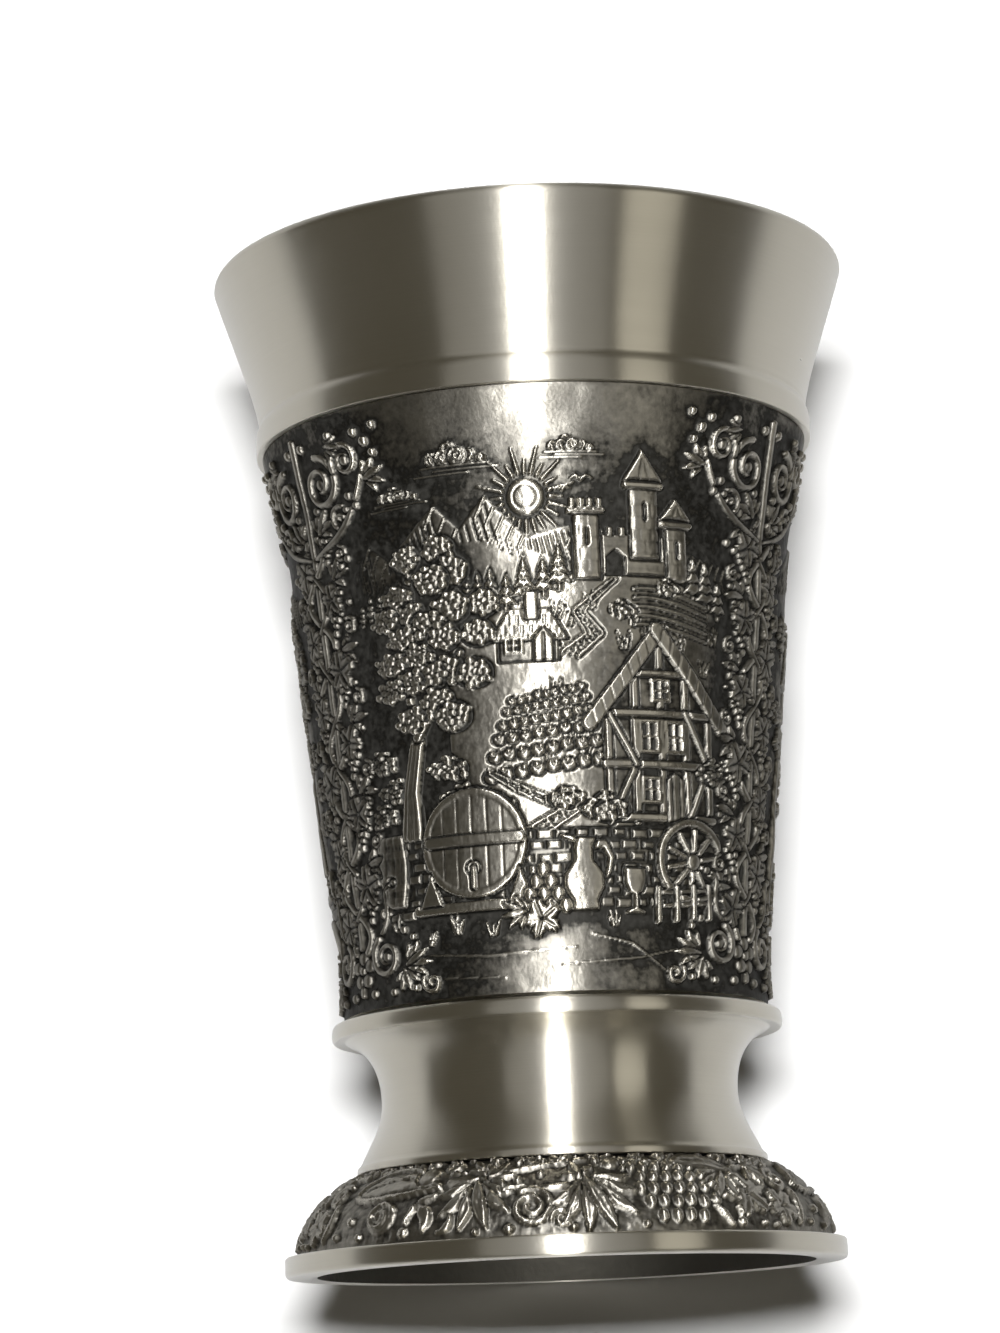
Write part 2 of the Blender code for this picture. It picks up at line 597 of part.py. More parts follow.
def make_foot_neck(material):
    """The turned neck: a hollow scotia between a small lip below and the bead that carries the body,
    with an upstand inside the bowl for the floor and a socket below for the skirt."""
    seat_radius = bore_radius(BODY_FOOT_Z) - JOINT_GAP
    scotia_foot = (NECK_LIP_RADIUS - NECK_LIP_STEP, LIP_TOP_Z)
    scotia_reach = scotia_foot[0] - WAIST_RADIUS
    under_bead = (BEAD_RADIUS - BEAD_UNDERCUT, BEAD_FOOT_Z)
    bead_reach = under_bead[0] - WAIST_RADIUS
    waist = (WAIST_RADIUS, WAIST_Z)
    outer = [
        (NECK_LIP_RADIUS - BEVEL, NECK_FOOT_Z),
        (NECK_LIP_RADIUS, NECK_FOOT_Z + BEVEL),
        (NECK_LIP_RADIUS - NECK_LIP_STEP / 3, LIP_TOP_Z),
        scotia_foot,
    ]
    outer += curve(
        scotia_foot,
        (WAIST_RADIUS + scotia_reach * 0.45, LIP_TOP_Z + LOWER_SCOTIA_RISE * 0.33),
        (WAIST_RADIUS, WAIST_Z - LOWER_SCOTIA_RISE * 0.42),
        waist,
        5,
    )
    outer += curve(
        waist,
        (WAIST_RADIUS, WAIST_Z + UPPER_SCOTIA_RISE * 0.37),
        (WAIST_RADIUS + bead_reach * 0.35, BEAD_FOOT_Z - UPPER_SCOTIA_RISE * 0.17),
        under_bead,
        6,
    )
    outer += [
        (BEAD_RADIUS - BEVEL, BEAD_FOOT_Z + BEVEL),
        (BEAD_RADIUS, BEAD_FOOT_Z + BEAD_RISE * 0.4),
        (BEAD_RADIUS, BODY_FOOT_Z - BEVEL / 2),
        (BEAD_RADIUS - BEVEL / 2, BODY_FOOT_Z),
        (seat_radius, BODY_FOOT_Z),
        (seat_radius, FLOOR_SEAT_Z),
    ]
    inner = [
        (NECK_BORE, FLOOR_SEAT_Z),
        (NECK_BORE, SOCKET_TOP_Z),
        (SKIRT_TENON_RADIUS + JOINT_GAP, SOCKET_TOP_Z),
        (SKIRT_TENON_RADIUS + JOINT_GAP, NECK_FOOT_Z),
    ]
    return revolve("foot_neck", outer + inner, TURNED_SEGMENTS, material)


def dome(foot, top, steps):
    """Quarter-round profile that leaves its foot almost upright and runs in flat to its top."""
    reach = foot[0] - top[0]
    rise = top[1] - foot[1]
    leave = (foot[0] - reach * 0.07, foot[1] + rise * 0.5)
    arrive = (top[0] + reach * 0.46, top[1] - rise * 0.17)
    return [foot] + curve(foot, leave, arrive, top, steps)


def dome_radius(profile, height):
    """Radius of a dome's profile at one height."""
    for (r0, z0), (r1, z1) in zip(profile, profile[1:]):
        if z0 <= height <= z1:
            return r0 + (r1 - r0) * (height - z0) / (z1 - z0)
    return profile[0][0]


def make_foot_skirt(material):
    """The cast skirt: a plain flange that the cup stands on, a dome with the vine in relief, and a
    tenon that centres the neck. It is hollow underneath."""
    ground = dome((SKIRT_FOOT_RADIUS, FLANGE_EDGE), (SKIRT_TOP_RADIUS, SKIRT_SEAT_Z), SKIRT_ROWS)
    hollow = dome(
        (FLANGE_RADIUS - FLANGE_WIDTH, FLANGE_EDGE),
        (SKIRT_TOP_RADIUS - SKIRT_WALL, SKIRT_SEAT_Z - SKIRT_WALL),
        3,
    )
    tenon_z = SOCKET_TOP_Z - JOINT_GAP
    outer = [
        (FLANGE_RADIUS - BEVEL / 2, 0.0),
        (FLANGE_RADIUS, BEVEL / 2),
        (FLANGE_RADIUS, FLANGE_EDGE - BEVEL),
        (FLANGE_RADIUS - BEVEL, FLANGE_EDGE),
    ]
    outer += ground
    inner = [
        (SKIRT_TENON_RADIUS, SKIRT_SEAT_Z),
        (SKIRT_TENON_RADIUS, tenon_z),
        (SKIRT_TENON_BORE, tenon_z),
        (SKIRT_TENON_BORE, SKIRT_SEAT_Z - SKIRT_WALL),
    ]
    inner += list(reversed(hollow))
    inner += [(FLANGE_RADIUS - FLANGE_WIDTH, 0.0)]
    skirt = revolve("foot_skirt", outer + inner, SKIRT_COLUMNS, material)
    raise_relief(
        skirt, lambda z: dome_radius(ground, z), skirt_relief, FLANGE_EDGE, SKIRT_SEAT_Z
    )
    return skirt


def make_solder_fillet(name, corner, axial, material):
    """A ring of solder in the corner where two pieces meet, with a three-cornered section. It runs
    inwards from the corner, and up or down as axial is 1 or -1."""
    r = corner[0] - JOINT_GAP
    z = corner[1] + axial * JOINT_GAP
    hollow = SOLDER_LEG * 0.35
    profile = [
        (r, z),
        (r - SOLDER_LEG, z),
        (r - hollow, z + axial * hollow),
        (r, z + axial * SOLDER_LEG),
    ]
    return revolve(name, profile, SOLDER_SEGMENTS, material)


def build():
    """Makes the cup's pieces in the order in which they are put together."""
    clear_scene()
    bright = metal("turned_pewter", (0.60, 0.585, 0.55), 0.28)
    antique = metal("antiqued_pewter", (0.27, 0.262, 0.24), 0.40)
    solder = metal("solder", (0.50, 0.49, 0.47), 0.35)
    make_foot_skirt(antique)
    make_foot_neck(bright)
    make_solder_fillet("skirt_solder_fillet", (SKIRT_TENON_BORE, SOCKET_TOP_Z), -1, solder)
    make_relief_body(antique)
    make_bowl_floor(bright)
    make_solder_fillet("floor_solder_fillet", (NECK_BORE, FLOOR_Z), -1, solder)
    make_solder_fillet("bowl_solder_fillet", (bore_radius(FLOOR_TOP_Z), FLOOR_TOP_Z), 1, solder)
    make_lip_collar(bright)


build()
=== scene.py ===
"""Pewter shot cup on a spool foot, dressed for the camera.

The cup stands on the XY plane with its axis on +Z. In the picture it lies on its back on a white
table, so the table is a pale wall that touches the rim and the foot behind it, and the camera looks
up a little from the foot's side. Lengths are in millimetres and become metres in the meshes.
"""

import math

import bpy
import numpy as np
from mathutils import Matrix, Vector


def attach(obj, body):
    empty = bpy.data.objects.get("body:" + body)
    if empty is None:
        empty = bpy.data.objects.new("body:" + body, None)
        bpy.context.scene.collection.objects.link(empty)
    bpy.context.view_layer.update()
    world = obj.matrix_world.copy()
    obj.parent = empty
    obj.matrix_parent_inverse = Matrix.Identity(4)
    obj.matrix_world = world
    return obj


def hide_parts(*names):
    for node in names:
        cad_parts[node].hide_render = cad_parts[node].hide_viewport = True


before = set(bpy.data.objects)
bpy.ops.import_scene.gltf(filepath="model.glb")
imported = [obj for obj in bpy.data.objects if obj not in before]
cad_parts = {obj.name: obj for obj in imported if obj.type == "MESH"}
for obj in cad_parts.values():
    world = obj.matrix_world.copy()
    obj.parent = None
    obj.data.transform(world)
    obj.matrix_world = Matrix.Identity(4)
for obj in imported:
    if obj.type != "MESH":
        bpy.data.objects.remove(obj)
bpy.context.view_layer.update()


# The studio: a camera at the picture's angle, the white table that the cup lies on, and a pale floor for
# the views from above. A long strip lamp, a wide faint glow and a small ceiling lamp hang over the
# table, and a window stands to the right. Nothing here belongs to the cup.
MM = 0.001
IMAGE_HEIGHT = 1333
FOCAL_LENGTH = 3950.0
CAMERA_DISTANCE = 255.7
CAMERA_HEIGHT = -12.1
CAMERA_PITCH = 0.1993
CAMERA_YAW = 0.0109
CAMERA_ROLL = -0.0385
STAGE_SIZE = 1600.0
TABLE_AT_FOOT = 18.05
TABLE_AT_RIM = 21.05
TABLE_WHITE = 0.55
TABLE_MIRRORED = 0.25
TABLE_GLOW = 0.14
FLOOR_SHARE = 0.5
FLOOR_DROP = 0.02
FLOOR_WHITE = 0.78
FLOOR_GLOW = 0.7
RIM_HEIGHT = 66.0
CUP_MIDDLE = 33.0
ROOM_COLOUR = (0.095, 0.087, 0.068)
WHITE = (1.0, 1.0, 1.0)
DAYLIGHT = (1.0, 0.97, 0.88)
EVERY_RAY = ("Is Camera Ray", "Is Glossy Ray", "Is Diffuse Ray", "Is Shadow Ray")


def link(thing):
    """Puts an object into the scene."""
    bpy.context.scene.collection.objects.link(thing)
    return thing


def add_camera():
    """The camera's place is a distance in front of the axis, and it is turned by yaw, pitch and roll."""
    lens = bpy.data.cameras.new("camera")
    lens.lens = FOCAL_LENGTH * lens.sensor_width / IMAGE_HEIGHT
    lens.clip_start = 0.01
    camera = link(bpy.data.objects.new("camera", lens))
    place = Matrix.Translation((0.0, -CAMERA_DISTANCE * MM, CAMERA_HEIGHT * MM))
    turn = Matrix.Rotation(CAMERA_YAW, 4, "Z") @ Matrix.Rotation(math.pi / 2 + CAMERA_PITCH, 4, "X")
    camera.matrix_world = place @ turn @ Matrix.Rotation(CAMERA_ROLL, 4, "Z")
    bpy.context.scene.camera = camera


def stage_surface(name, material):
    """A large square face, with the stage's size, at the origin and facing up."""
    half = STAGE_SIZE * MM / 2
    mesh = bpy.data.meshes.new(name)
    corners = [(-half, -half, 0), (half, -half, 0), (half, half, 0), (-half, half, 0)]
    mesh.from_pydata(corners, [], [(0, 1, 2, 3)])
    mesh.materials.append(material)
    surface = link(bpy.data.objects.new(name, mesh))
    return surface


def feed(links, node, inputs):
    """Sets a node's inputs to values, or links them to the outputs of other nodes."""
    for name, value in inputs.items():
        if isinstance(value, bpy.types.NodeSocket):
            links.new(value, node.inputs[name])
        else:
            node.inputs[name].default_value = value


def add_node(links, kind, inputs=(), **settings):
    """A new shader node with its settings and its inputs. Gives its outputs."""
    node = links.id_data.nodes.new("ShaderNode" + kind)
    for name, value in settings.items():
        setattr(node, name, value)
    feed(links, node, dict(inputs))
    return node.outputs


def math_node(links, operation, *inputs, clamp=False):
    """A Math node with its inputs set to numbers or linked to sockets. Gives its output."""
    return add_node(links, "Math", enumerate(inputs), operation=operation, use_clamp=clamp)[0]


def mixed(links, share, first, second):
    """A colour between two colours, the nearer to the second the greater the share. Gives its output."""
    ends = {"Factor": share, "A": (*first, 1.0), "B": (*second, 1.0)}
    return add_node(links, "Mix", ends, data_type="RGBA")["Result"]


def one_sided(name, white, mirrored, glow, lit_kind, seen_by):
    """A matt grey surface that is there only from its front side, and only for the kinds of ray in seen_by.
    Its grey in the metal's reflections is mirrored, and rays of the lit kind also get a steady glow."""
    material = bpy.data.materials.new(name)
    material.use_nodes = True
    material.node_tree.nodes.clear()
    links = material.node_tree.links
    path = add_node(links, "LightPath")
    grey = mixed(links, path["Is Glossy Ray"], [white] * 3, [mirrored] * 3)
    matt = add_node(links, "BsdfDiffuse", {"Color": grey})[0]
    light = add_node(links, "Emission", {"Strength": math_node(links, "MULTIPLY", path[lit_kind], glow)})[0]
    both = add_node(links, "AddShader", {0: matt, 1: light})[0]
    shown = path[seen_by[0]]
    for kind in seen_by[1:]:
        shown = math_node(links, "MAXIMUM", shown, path[kind])
    back = add_node(links, "NewGeometry")["Backfacing"]
    front = math_node(links, "SUBTRACT", shown, back, clamp=True)
    clear = add_node(links, "BsdfTransparent")[0]
    seen = add_node(links, "MixShader", {0: front, 1: clear, 2: both})[0]
    add_node(links, "OutputMaterial", {"Surface": seen})
    return material


def add_lamp(name, shape, place, aim, size, strength, colour, for_table=False):
    """A flat lamp of the given shape, width and height, turned to a height on the cup's axis. Strength is
    the brightness of its face. It shows only in reflections, or else it lights only the table."""
    lamp = bpy.data.lights.new(name, "AREA")
    lamp.shape = shape
    lamp.size = size[0] * MM
    lamp.size_y = size[1] * MM
    lamp.color = colour
    share = math.pi / 4 if shape == "ELLIPSE" else 1.0
    lamp.energy = strength * math.pi * lamp.size * lamp.size_y * share
    holder = link(bpy.data.objects.new(name, lamp))
    holder.visible_diffuse = for_table
    holder.visible_glossy = not for_table
    ahead = (Vector((0.0, 0.0, aim)) - Vector(place)).normalized()
    turn = ahead.to_track_quat("-Z", "Y").to_matrix().to_4x4()
    holder.matrix_world = Matrix.Translation(Vector(place) * MM) @ turn


def add_studio():
    """The table is turned so that it passes through the back of the foot and the back of the rim, and its
    glow is seen only in the metal. The ceiling lamp lights the table from beyond the rim, so that the
    cup's shadow falls towards its foot."""
    white = one_sided("white_table", TABLE_WHITE, TABLE_MIRRORED, TABLE_GLOW, "Is Glossy Ray", EVERY_RAY)
    table = stage_surface("table", white)
    lean = math.atan2(TABLE_AT_RIM - TABLE_AT_FOOT, RIM_HEIGHT)
    back = Matrix.Translation((0.0, TABLE_AT_FOOT * MM, 0.0))
    table.matrix_world = back @ Matrix.Rotation(math.pi / 2 - lean, 4, "X")
    pale = one_sided("pale_floor", FLOOR_WHITE, FLOOR_WHITE, FLOOR_GLOW, "Is Camera Ray", EVERY_RAY[:1])
    floor = stage_surface("floor", pale)
    floor.scale = (FLOOR_SHARE, FLOOR_SHARE, 1.0)
    floor.location.z = -FLOOR_DROP * MM
    for lamp in (
        ("strip_lamp", "RECTANGLE", (-3.0, -420.0, -410.0), -410.0, (75.0, 2380.0), 11.0, WHITE),
        ("glow_lamp", "ELLIPSE", (-12.0, -425.0, 33.0), CUP_MIDDLE, (560.0, 2200.0), 0.22, WHITE),
        ("window_lamp", "ELLIPSE", (300.0, -290.0, 20.0), CUP_MIDDLE, (165.0, 560.0), 0.7, DAYLIGHT),
        ("ceiling_lamp", "RECTANGLE", (-4.0, -420.0, 61.5), CUP_MIDDLE, (95.0, 60.0), 235.0, WHITE, True),
    ):
        add_lamp(*lamp)
    world = bpy.data.worlds.new("room")
    bpy.context.scene.world = world
    world.use_nodes = True
    links = world.node_tree.links
    sight = add_node(links, "LightPath")["Is Camera Ray"]
    feed(links, world.node_tree.nodes["Background"], {"Color": mixed(links, sight, ROOM_COLOUR, WHITE)})


add_camera()
add_studio()
bpy.context.scene.view_settings.view_transform = "Standard"


# The foot's skirt: one casting, a plain flange under a dome that carries a vine in relief. The dome is
# blackened in a bath and then rubbed, so the ground stays dark and what stands up is bright.
FLANGE_RADIUS = 18.0
FLANGE_EDGE = 1.3
FLANGE_INNER_RADIUS = 15.95
DOME_FOOT_RADIUS = 17.1
DOME_TOP_RADIUS = 12.95
DOME_TOP_HEIGHT = 6.2
SKIRT_WALL = 1.2
SKIRT_TENON = (11.2, 10.2)
SKIRT_TENON_TOP = 7.7
SKIRT_COLUMNS = 999
SKIRT_ROWS = 66
FRIEZE_REPEATS = 3
FRIEZE_RADIUS = 15.5
FRIEZE_BORDER = 0.25
FRIEZE_SUNK = -0.05
FRIEZE_LIMIT = 0.4
FRIEZE_UNEVENNESS = 0.02
FRIEZE_SHINE = (0.32, 0.56)
SKIRT_CREASE = 75.0
CLOSE_BY = 0.35
CLOSE_HOLLOW = 3.0
RING_HOLLOWS = ((0.8, 2.4), (1.9, 1.5))
CLOSE_RISE = 2.1
HEIGHT_SHARE = 0.65
PEWTER = (0.62, 0.585, 0.50)
DULL_PEWTER = (0.558, 0.5265, 0.445)
BLACKENED = (0.030, 0.029, 0.026)
HALF_RUBBED = (0.225, 0.214, 0.189)
RUBBED = (0.50, 0.475, 0.42)


def bezier(start, lead_out, lead_in, end, steps):
    """Points of the cubic curve from start to end, for even steps of t from 0 to 1: the sum of the four
    points, weighted by the four terms of the cube of (1 - t) + t."""
    t = np.linspace(0.0, 1.0, steps + 1)[:, None]
    s = 1.0 - t
    points = [np.asarray(p, float) for p in (start, lead_out, lead_in, end)]
    return s**3 * points[0] + 3 * s**2 * t * points[1] + 3 * s * t**2 * points[2] + t**3 * points[3]


def softened(corners, cuts, steps=4):
    """A line of (radius, height) corners with each inner corner cut back by its own length and replaced
    by a parabola that is tangent to both sides."""
    corners = np.asarray(corners, float)
    points = [corners[:1]]
    t = np.linspace(0.0, 1.0, steps + 1)[:, None]
    for before, corner, after, length in zip(corners, corners[1:], corners[2:], cuts):
        start = corner + (before - corner) / np.linalg.norm(before - corner) * length
        end = corner + (after - corner) / np.linalg.norm(after - corner) * length
        points.append((1 - t) ** 2 * start + 2 * t * (1 - t) * corner + t**2 * end)
    points.append(corners[-1:])
    return np.concatenate(points)


def ring_faces(rows, columns, wrap_columns):
    """Quads of a grid of points, numbered row by row. The last row is joined to the first one, and so is
    the last column where it wraps. Rows follow the section and columns go round the axis."""
    r = np.arange(rows)[:, None]
    c = np.arange(columns if wrap_columns else columns - 1)[None, :]
    r2, c2 = (r + 1) % rows, (c + 1) % columns
    corners = (r * columns + c, r * columns + c2, r2 * columns + c2, r2 * columns + c)
    return np.stack(np.broadcast_arrays(*corners), axis=-1).reshape(-1, 4)


def make_mesh(name, points, faces, ends=()):
    """A smooth mesh from millimetre points, quads, and faces of many corners that close its ends."""
    mesh = bpy.data.meshes.new(name)
    faces = faces.tolist() + [list(end) for end in ends]
    mesh.from_pydata((points.reshape(-1, 3) * MM).tolist(), [], faces)
    mesh.shade_smooth()
    return mesh


def add_piece(name, mesh, slot, *nodes):
    """Puts a mesh into the scene as a piece of the cup that stands for CAD nodes, and hides those nodes.
    The slot is not used."""
    piece = link(bpy.data.objects.new(name, mesh))
    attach(piece, "root")
    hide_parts(*nodes)
    return piece


def dress(mesh, columns, *looks):
    """Gives a mesh of rows its materials: each look is a material and the number of rows of faces that
    have it. Faces that close the ends come last and have the first material."""
    for material, rows in looks:
        mesh.materials.append(material)
    index = np.zeros(len(mesh.polygons), np.int32)
    rows = [rows for material, rows in looks]
    grid = np.repeat(np.arange(len(looks)), rows)
    index[: len(grid) * columns] = np.repeat(grid, columns)
    mesh.polygons.foreach_set("material_index", index)


def store(mesh, name, values):
    """Keeps one number for each point of a mesh as an attribute."""
    attribute = mesh.attributes.new(name, "FLOAT", "POINT")
    attribute.data.foreach_set("value", np.ascontiguousarray(values, np.float32).ravel())


def near(canvas, low, high):
    """The part of a canvas between two corners: its x, y and heights as views of the canvas."""
    x, y, field = canvas
    if field.size == 0:
        return canvas
    rows = np.flatnonzero((y[:, 0] > low[1]) & (y[:, 0] < high[1]))
    columns = np.flatnonzero((x.max(axis=0) > low[0]) & (x.min(axis=0) < high[0]))
    if len(rows) == 0 or len(columns) == 0:
        return x[:0, :0], y[:0, :0], field[:0, :0]
    part = (slice(rows[0], rows[-1] + 1), slice(columns[0], columns[-1] + 1))
    return x[part], y[part], field[part]


def bound(points, margin):
    """The lowest and the highest corner of a list of points, moved outwards by a margin."""
    points = np.asarray(points, float)
    return points.min(axis=0) - margin, points.max(axis=0) + margin


def lay(field, inside, height, edge=0.2, moat=0.15, bed=0.0):
    """Lays a raised shape: behind its outline it climbs over the edge's width along a quarter of a circle,
    from the bed to its height, and what lies within a moat's width outside the outline is sunk to the bed."""
    t = np.clip(inside / edge, 0.0, 1.0)
    low = np.minimum(field, bed)
    sunk = low + (field - low) * np.clip(-inside / moat, 0.0, 1.0)
    field[...] = np.where(inside > 0.0, bed + (height - bed) * np.sqrt(t * (2.0 - t)), sunk)


def stroke_inside(x, y, points, widths):
    """Distance inside a stroke: its half-width, which runs evenly through the given widths, less the
    distance to the nearest stretch of the line through the points."""
    points = np.asarray(points, float)
    half = np.interp(np.linspace(0, 1, len(points)), np.linspace(0, 1, len(widths)), widths)
    inside = np.full(x.shape, -1.0)
    for start, end, w0, w1 in zip(points, points[1:], half, half[1:]):
        px, py, part = near((x, y, inside), *bound((start, end), max(w0, w1) + 0.3))
        step = end - start
        t = ((px - start[0]) * step[0] + (py - start[1]) * step[1]) / (step @ step + 1e-12)
        t = np.clip(t, 0.0, 1.0)
        away = np.hypot(px - start[0] - t * step[0], py - start[1] - t * step[1])
        np.maximum(part, w0 + (w1 - w0) * t - away, out=part)
    return inside


def stroke(canvas, points, widths, height, moat=0.15, bed=0.0):
    """Raises a stem along a line of points, rounded towards both sides of a narrow flat top."""
    x, y, field = near(canvas, *bound(points, max(widths) + moat))
    lay(field, stroke_inside(x, y, points, widths), height, 0.7 * max(widths), moat, bed)


def cut(canvas, points, width, depth):
    """Cuts a V-shaped groove along a line of points into what is already there."""
    x, y, field = near(canvas, *bound(points, width))
    field -= depth * np.clip(stroke_inside(x, y, points, (width,)) / width, 0.0, 1.0)


def berry(canvas, cx, cy, radius, height, stretch=1.0, moat=0.11, bed=0.0):
    """Raises a round berry, or an egg shape where it is stretched upwards."""
    reach = radius * max(stretch, 1.0) + moat
    x, y, field = near(canvas, (cx - reach, cy - reach), (cx + reach, cy + reach))
    lay(field, radius - np.hypot(x - cx, (y - cy) / stretch), height, radius, moat, bed)


def stem(canvas, start, lead_out, lead_in, end, steps, widths, height, moat=0.15, bed=0.0):
    """Raises a stem along a cubic curve."""
    stroke(canvas, bezier(start, lead_out, lead_in, end, steps), widths, height, moat, bed)


def tendril(canvas, cx, cy, radius, turn, turns, steps, widths, height, moat=0.15, bed=0.0):
    """Raises a tendril that winds in from its outer end: the radius shrinks evenly to a fifth while the
    angle goes from turn through the given number of turns."""
    t = np.linspace(0.0, 1.0, steps)
    angle = math.radians(turn) + math.tau * turns * t
    shrink = radius * (1.0 - 0.8 * t)
    line = np.stack([cx + shrink * np.cos(angle), cy + shrink * np.sin(angle)], axis=1)
    stroke(canvas, line, widths, height, moat, bed)


def turned(x, y, cx, cy, turn):
    """Coordinates across and along a shape that stands at (cx, cy), turned by an angle in degrees."""
    c, s = math.cos(math.radians(turn)), math.sin(math.radians(turn))
    return (x - cx) * c + (y - cy) * s, (y - cy) * c - (x - cx) * s


def vine_leaf(canvas, cx, cy, size, turn, height):
    """Raises a vine leaf with its stalk end at (cx, cy). The outline's radius swells at five lobes and
    toothed tips, and a vein is cut from the stalk to each tip."""
    x, y, field = near(canvas, (cx - size * 1.2, cy - size * 1.2), (cx + size * 1.2, cy + size * 1.2))
    u, v = turned(x, y, cx, cy, turn)
    bearing = np.arctan2(u, v)
    distance = np.hypot(u, v)
    lobe = np.abs(np.cos(bearing * 2.5)) ** 0.8
    tooth = 0.055 * np.cos(bearing * 21.0)
    reach = size * (0.52 + 0.42 * lobe + tooth - 0.16 * np.abs(bearing / math.pi) ** 3)
    inside = (reach - distance) * 0.8
    dish = height * (0.72 + 0.28 * np.clip(distance / size, 0.0, 1.0))
    lay(field, inside, dish, 0.14 + size * 0.06, 0.13)
    for vein in (-144, -72, 0, 72, 144):
        across, forward = turned(u, v, 0.0, 0.0, -vein)
        groove = np.clip(1.0 - np.abs(across) / (0.04 * size + 0.06), 0.0, 1.0)
        field -= height * 0.45 * groove * (forward > 0) * (inside > 0.05)


def fan_leaf(canvas, cx, cy, size, turn, height, lobes=5):
    """Raises a drooping leaf: long drop-shaped lobes spread from the stalk end at (cx, cy) about the
    turned direction, the narrower the more there are, each with a groove down its middle."""
    wide = 0.9 * size / (lobes + 1)
    for k in sorted(range(lobes), key=lambda k: -abs(k - (lobes - 1) / 2)):
        spread = (k / (lobes - 1) - 0.5) * 2.0
        lean = math.radians(turn + 68.0 * spread)
        reach = size * (1.0 - 0.28 * spread * spread)
        ahead = np.array((-math.sin(lean), math.cos(lean))) * reach
        bend = np.array((ahead[1], -ahead[0])) * 0.14 * spread
        root = np.array((cx, cy))
        line = bezier(root, root + 0.3 * ahead + bend, root + 0.7 * ahead + bend, root + ahead, 6)
        stroke(canvas, line, (0.35 * wide, 0.8 * wide, wide, 0.8 * wide, 0.2 * wide), height, 0.12)
        cut(canvas, line[1:-1], 0.35 * wide, 0.3 * height)


def grape_bunch(canvas, cx, cy, width, length, turn, size, height):
    """Raises a bunch of grapes that hangs from (cx, cy): rows of berries, each row shorter than the one
    above it."""
    c, s = math.cos(math.radians(turn)), math.sin(math.radians(turn))
    rows = max(2, round(length / (size * 1.8)))
    for row in range(rows):
        count = max(1, round((1.0 - 0.85 * row / (rows - 1)) * width / (size * 2.0)))
        for place in range(count):
            u = (place - (count - 1) / 2) * size * 2.05
            v = -row * size * 1.8 - size
            berry(canvas, cx + u * c - v * s, cy + u * s + v * c, size, height, 1.2, 0.09)


def each(canvas, motif, *places):
    """Draws a motif at each of its places, in their order. A place is a list of the motif's numbers."""
    for numbers in places:
        motif(canvas, *numbers)


